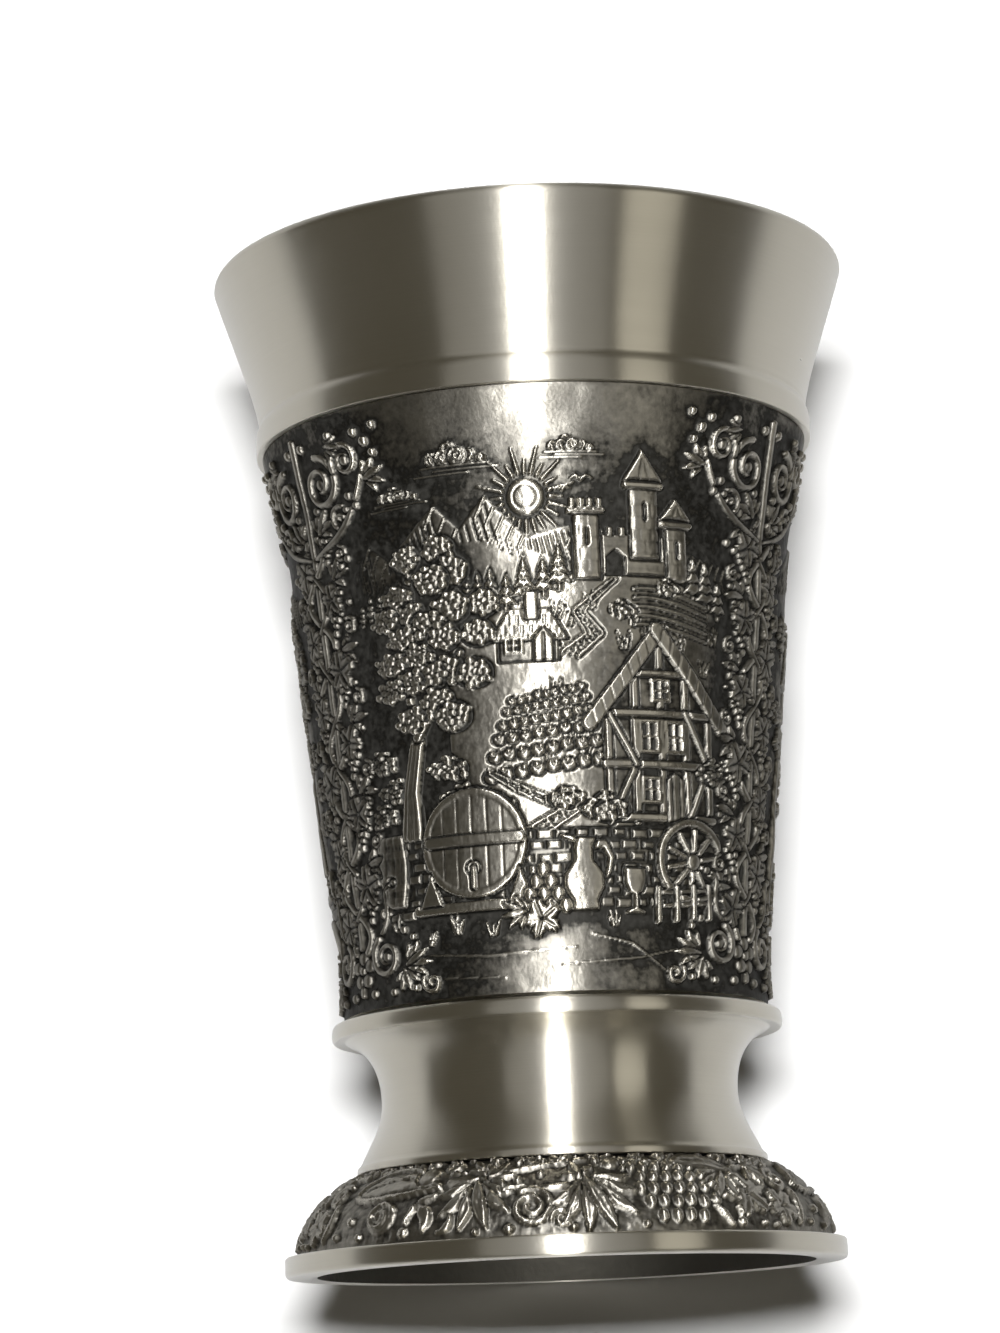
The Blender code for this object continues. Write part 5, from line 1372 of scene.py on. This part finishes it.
def pillar(canvas):
    """A pillar of vine: a rod with a stem winding round it, leaves, grapes and tendrils, rows of beads
    down both sides, scrolls with berries that spread at the top, and curls and a flower at the foot."""
    beam(canvas, [(0.0, 1.0), (0.0, 36.6)], 0.5, 0.42, 0.15)
    t = np.linspace(0.0, 1.0, 130)
    for phase, share in ((0.6, 1.0), (3.9, 0.8)):
        vine = np.stack([1.3 * share * np.sin(t * 27.0 + phase), 3.6 + 26.6 * t], axis=1)
        stroke(canvas, vine, (0.22 * share,), 0.5 * share + 0.06, 0.1)
    for k in range(11):
        side = 1 if k % 2 else -1
        py = 5.4 + 2.3 * k
        fan_leaf(canvas, side * 1.9, py + 1.3, 1.7, (75 + 30 * math.sin(2.0 * k)) * -side, 0.42, 4)
        size, turn = 1.4 + 0.15 * math.sin(2.0 * k), (55 + 25 * math.sin(k)) * -side
        vine_leaf(canvas, side * 1.5, py, size, turn, 0.52)
        grape_bunch(canvas, -side * 1.8, py + 1.7, 1.7, 1.9, 10 * side, 0.25, 0.52)
        tendril(canvas, -side * 3.0, py + 0.4, 0.55, 90, 1.4 * side, 16, (0.13, 0.1), 0.42, 0.08)
    for side in (-1, 1):
        for k in range(22):
            if k % 6 < 4:
                px, py = side * (2.75 + 0.4 * math.sin(2.3 * k)), 5.2 + 1.02 * k + 0.2 * math.sin(1.7 * k)
                berry(canvas, px, py, 0.19 + 0.06 * math.sin(1.3 * k), 0.36)
        for px, py, radius, lean, turns, steps, widths, height in (
            (2.3, 33.4, 1.75, 0, -1.6, 36, (0.26, 0.16), 0.52),
            (5.0, 34.4, 1.25, -110, -1.5, 28, (0.22, 0.14), 0.5),
            (3.6, 30.9, 0.95, 70, 1.4, 24, (0.18, 0.12), 0.46),
        ):
            start = 90 - lean * side
            tendril(canvas, side * px, py, radius, start, turns * side, steps, widths, height, 0.1)
        spray = [(side * px, py) for px, py in ((0.3, 29.0), (2.4, 29.6), (4.4, 29.8), (6.2, 33.4))]
        stem(canvas, *spray, 16, (0.14, 0.24, 0.16), 0.46, 0.1)
        fan_leaf(canvas, side * 6.3, 33.0, 1.7, -70 * side, 0.46)
        fan_leaf(canvas, side * 1.2, 30.4, 1.8, -35 * side, 0.5)
        fan_leaf(canvas, side * 3.5, 35.6, 1.3, -100 * side, 0.44)
        for px, py, radius in (
            (2.3, 33.4, 0.4), (5.0, 34.4, 0.36), (6.9, 35.3, 0.36), (6.2, 36.0, 0.32), (7.4, 34.5, 0.3),
            (4.0, 36.2, 0.3), (0.9, 36.0, 0.34), (1.3, 31.9, 0.3), (4.7, 32.2, 0.32), (5.2, 31.5, 0.28),
            (4.3, 31.4, 0.26), (3.6, 28.4, 0.3), (2.9, 28.0, 0.26), (7.8, 36.2, 0.3),
        ):
            berry(canvas, side * px, py, radius, 0.5)
        tendril(canvas, side * 2.7, 3.1, 1.35, 90 + 30 * side, 1.5 * side, 30, (0.24, 0.15), 0.5, 0.1)
        spray = [(side * px, py) for px, py in ((2.4, 4.6), (4.2, 5.9), (2.2, 7.2), (4.0, 7.6))]
        stem(canvas, *spray, 14, (0.12, 0.2, 0.12), 0.44, 0.1)
        fan_leaf(canvas, side * 4.5, 2.4, 1.9, -75 * side, 0.5, 6)
        fan_leaf(canvas, side * 4.3, 2.2, 1.5, -160 * side, 0.46)
        tendril(canvas, side * 6.5, 1.1, 0.7, 90 + 60 * side, 1.3 * side, 18, (0.16, 0.11), 0.42, 0.1)
        for px, py, radius in (
            (2.7, 3.1, 0.34), (4.4, 4.6, 0.3), (5.1, 4.1, 0.26), (4.1, 7.6, 0.3), (1.3, 0.9, 0.34),
            (3.3, 0.8, 0.3), (5.2, 0.9, 0.26),
        ):
            berry(canvas, side * px, py, radius, 0.48)
    for k in range(5):
        turn = math.tau * (k + 0.25) / 5
        berry(canvas, 0.78 * math.cos(turn), 2.5 + 0.78 * math.sin(turn), 0.48, 0.5)
    berry(canvas, 0.0, 2.5, 0.32, 0.6)


def wall_field():
    """Heights of the relief all the way round, row by row. The pictures are drawn first, then the pillars
    over the seams between them, then a slow unevenness of the hand-cut mould and fine pits, which the
    plain bands at the top and the foot hardly have."""
    third = WALL_COLUMNS // 3
    z = np.linspace(WALL_FOOT, WALL_TOP, WALL_ROWS)
    radius = ground_at(z)
    angle = (np.arange(third) + 0.5 - third / 2) / WALL_COLUMNS * math.tau
    x = radius[:, None] * angle[None, :]
    rise = z - WALL_FOOT
    y = np.repeat(rise[:, None], third, axis=1)
    field = np.zeros((WALL_ROWS, WALL_COLUMNS))
    for k, draw in enumerate((mill_picture, village_picture, harvest_picture)):
        draw((x, y, field[:, k * third : (k + 1) * third]))
    field = np.roll(field, third // 2, axis=1)
    spread = np.clip(1.0 - np.minimum(y, y[-1] - y) / PILLAR_SPREAD_RISE, 0.0, 1.0)
    clear = np.clip((np.abs(x) - PILLAR_HALF - PILLAR_SPREAD * spread) / 0.3, 0.0, 1.0)
    for k in range(3):
        part = field[:, k * third : (k + 1) * third]
        part *= clear
        pillar((x, y, part))
    field = np.roll(field, -third // 2, axis=1)
    rng = np.random.default_rng(2)
    uneven = blur(blur(rng.normal(0.0, 1.0, field.shape), 9), 9)
    pits = blur(rng.normal(0.0, 1.0, field.shape), 2)
    pitted = PIT_DEPTH * np.interp(rise, PITTED_RISES, PITTED_SHARES)[:, None]
    ends = np.clip(np.minimum(rise, WALL_TOP - z) / WALL_BORDER, 0.0, 1.0)[:, None]
    field = flattened(np.maximum(field, WALL_SUNK), WALL_LIMIT)
    return z, radius, (field + UNEVENNESS * uneven / uneven.std() + pitted * pits / pits.std()) * ends


def wall_shine(z, field):
    """How bright the rubbing left the wall, with the pillars rubbed less. The plain top is brighter than the
    rest, and down the middle of each picture the metal is painted brighter and smoother: a painted
    highlight where the lamp's reflection runs down the cup."""
    wave = np.cos(3.0 * (np.arange(WALL_COLUMNS) + 0.5) / WALL_COLUMNS * math.tau)
    pillars = np.clip(wave * 4.0 - 1.6, 0.0, 1.0)
    pictures = np.clip(-wave, 0.0, 1.0) ** 6
    # The middle of each picture: metal painted brighter and smoother, a painted highlight where the lamp's
    # reflection runs down the cup.
    middle = np.interp(z, PAINTED_HIGHLIGHT_HEIGHTS, PAINTED_HIGHLIGHT_SHARES)[:, None] * pictures
    top = TOP_SHINE * np.clip((z - TOP_SHINE_START) / 3.0, 0.0, 1.0)[:, None]
    plain = GROUND_SHINE + top + middle - PILLAR_GROUND_LOSS * pillars
    return rubbed_share(field, z[1] - z[0], plain) * (1.0 - PILLAR_LOSS * pillars)


def wall_pieces():
    """Each piece spans a sixth of the way round. Its skin is the ground moved straight out by the field,
    and a tenon, the bore and two flat ends close it. The edges of the ends and the corners are sharp."""
    z, ground, field = wall_field()
    tenon = ((WALL_TENON_RADIUS, WALL_TOP), (WALL_TENON_RADIUS, WALL_TENON_TOP))
    bore = [(bore_at(end), end) for end in (WALL_TENON_TOP, WALL_FOOT)]
    closing = np.array([*tenon, *bore])
    closed = np.repeat(closing[:, :1], WALL_COLUMNS, axis=1)
    radius = np.concatenate([ground[:, None] + field, closed])
    height = np.concatenate([z, closing[:, 1]])
    shine = np.concatenate([wall_shine(z, field), np.zeros(closed.shape)])
    angle = math.tau * np.arange(WALL_COLUMNS) / WALL_COLUMNS - math.pi
    sixth = WALL_COLUMNS // 6
    rows, wide = len(height), sixth + 1
    for k in range(6):
        columns = (k * sixth + sixth // 2 + np.arange(wide)) % WALL_COLUMNS
        out, around = radius[:, columns], angle[columns]
        up = np.repeat(height[:, None], wide, axis=1)
        points = np.stack([out * np.sin(around), -out * np.cos(around), up], axis=-1)
        start = np.arange(rows) * wide
        name = f"{'pillar' if k % 2 else 'picture'}_wall_{k // 2 + 1}"
        mesh = make_mesh(name, points, ring_faces(rows, wide, False), (start[::-1], start + wide - 1))
        dress(mesh, wide - 1, (antiqued, WALL_ROWS - 1), (bright, rows - WALL_ROWS + 1))
        ends = np.zeros(len(mesh.edges) * 2, int)
        mesh.edges.foreach_get("vertices", ends)
        row, column = np.divmod(ends.reshape(-1, 2), wide)
        same_row = (row[:, 0] == row[:, 1]) & ((row[:, 0] == 0) | (row[:, 0] >= WALL_ROWS - 1))
        same_end = (column[:, 0] == column[:, 1]) & ((column[:, 0] == 0) | (column[:, 0] == wide - 1))
        sharp = mesh.attributes.new("sharp_edge", "BOOLEAN", "EDGE")
        sharp.data.foreach_set("value", same_row | same_end)
        # The rubbed attribute holds the rubbing and, down the middle of each picture, the painted highlight.
        store(mesh, "rubbed", shine[:, columns])
        add_piece(name, mesh, "antiqued_pewter", "relief_body")


wall_pieces()


# The bowl's floor: a plain turned disc inside the bowl, with the same rings as the neck.
FLOOR_COLUMNS = 128
FLOOR_HEIGHTS = (17.9, 19.3)
FLOOR_GAP = 0.3
FLOOR_MIDDLE = 0.9


def floor_profile():
    """A disc between two heights whose rim follows the bore. Its middle is left for the turning to close."""
    low, high = FLOOR_HEIGHTS
    under = np.linspace((FLOOR_MIDDLE, low), (bore_at(low) - FLOOR_GAP, low), 12)
    over = np.linspace((bore_at(high) - FLOOR_GAP, high), (FLOOR_MIDDLE, high), 12)
    return np.concatenate([under, over])


floor = turning("floor_disc", floor_profile(), FLOOR_COLUMNS, False)
add_piece("floor_disc", floor, "turned_pewter", "bowl_floor")


# The lip collar: a turned trumpet lip with a rounded rim over a plain band, whose sharp lower edge laps
# over the bowl's wall.
COLLAR_COLUMNS = 320
COLLAR_BORE = 17.35
BAND_RADIUS = 18.45
SHOULDER_HEIGHT = 56.7
RIM_MIDDLE = (20.45, 65.45)
RIM_ROUND = 0.55


def collar_profile():
    """The outside runs from the band's foot up the trumpet, over the round rim and down the inside to the
    shoulder that sits on the wall."""
    band = [(COLLAR_BORE, 53.9), (BAND_RADIUS, 53.9), (BAND_RADIUS, 55.5), (18.2, 55.85), (18.26, 56.4)]
    band = softened(band, (0.12, 0.3, 0.2), 6)[:-1]
    outside = bezier((18.23, 55.82), (18.23, 57.65), (19.9, 61.88), (21.0, 65.45), 40)[2:]
    turn = np.linspace(0.0, math.pi, 17)[1:-1]
    radius, height = RIM_MIDDLE
    rim = np.stack([radius + RIM_ROUND * np.cos(turn), height + RIM_ROUND * np.sin(turn)], axis=1)
    foot = bore_at(SHOULDER_HEIGHT)
    inside = bezier((19.9, 65.45), (18.8, 62.21), (foot + 0.255, 59.76), (foot, SHOULDER_HEIGHT), 40)
    return np.concatenate([band, outside, rim, inside, [(COLLAR_BORE, SHOULDER_HEIGHT)]])


collar = turning("collar_turning", collar_profile(), COLLAR_COLUMNS)
add_piece("collar_turning", collar, "turned_pewter", "lip_collar")


# The three solder runs keep their CAD rings. They lie inside the bowl and the foot, show only from above
# and from below, and have the look of tin that flowed and froze.
SOLDER_CREASE = 50.0
solder = rough_metal("solder_tin", (0.52, 0.51, 0.48), 0.28, 0.9, 0.05)
for name in ("skirt_solder_fillet", "floor_solder_fillet", "bowl_solder_fillet"):
    run = bpy.data.objects[name]
    run.data.shade_smooth()
    run.data.set_sharp_from_angle(angle=math.radians(SOLDER_CREASE))
    for slot in run.material_slots:
        slot.material = solder
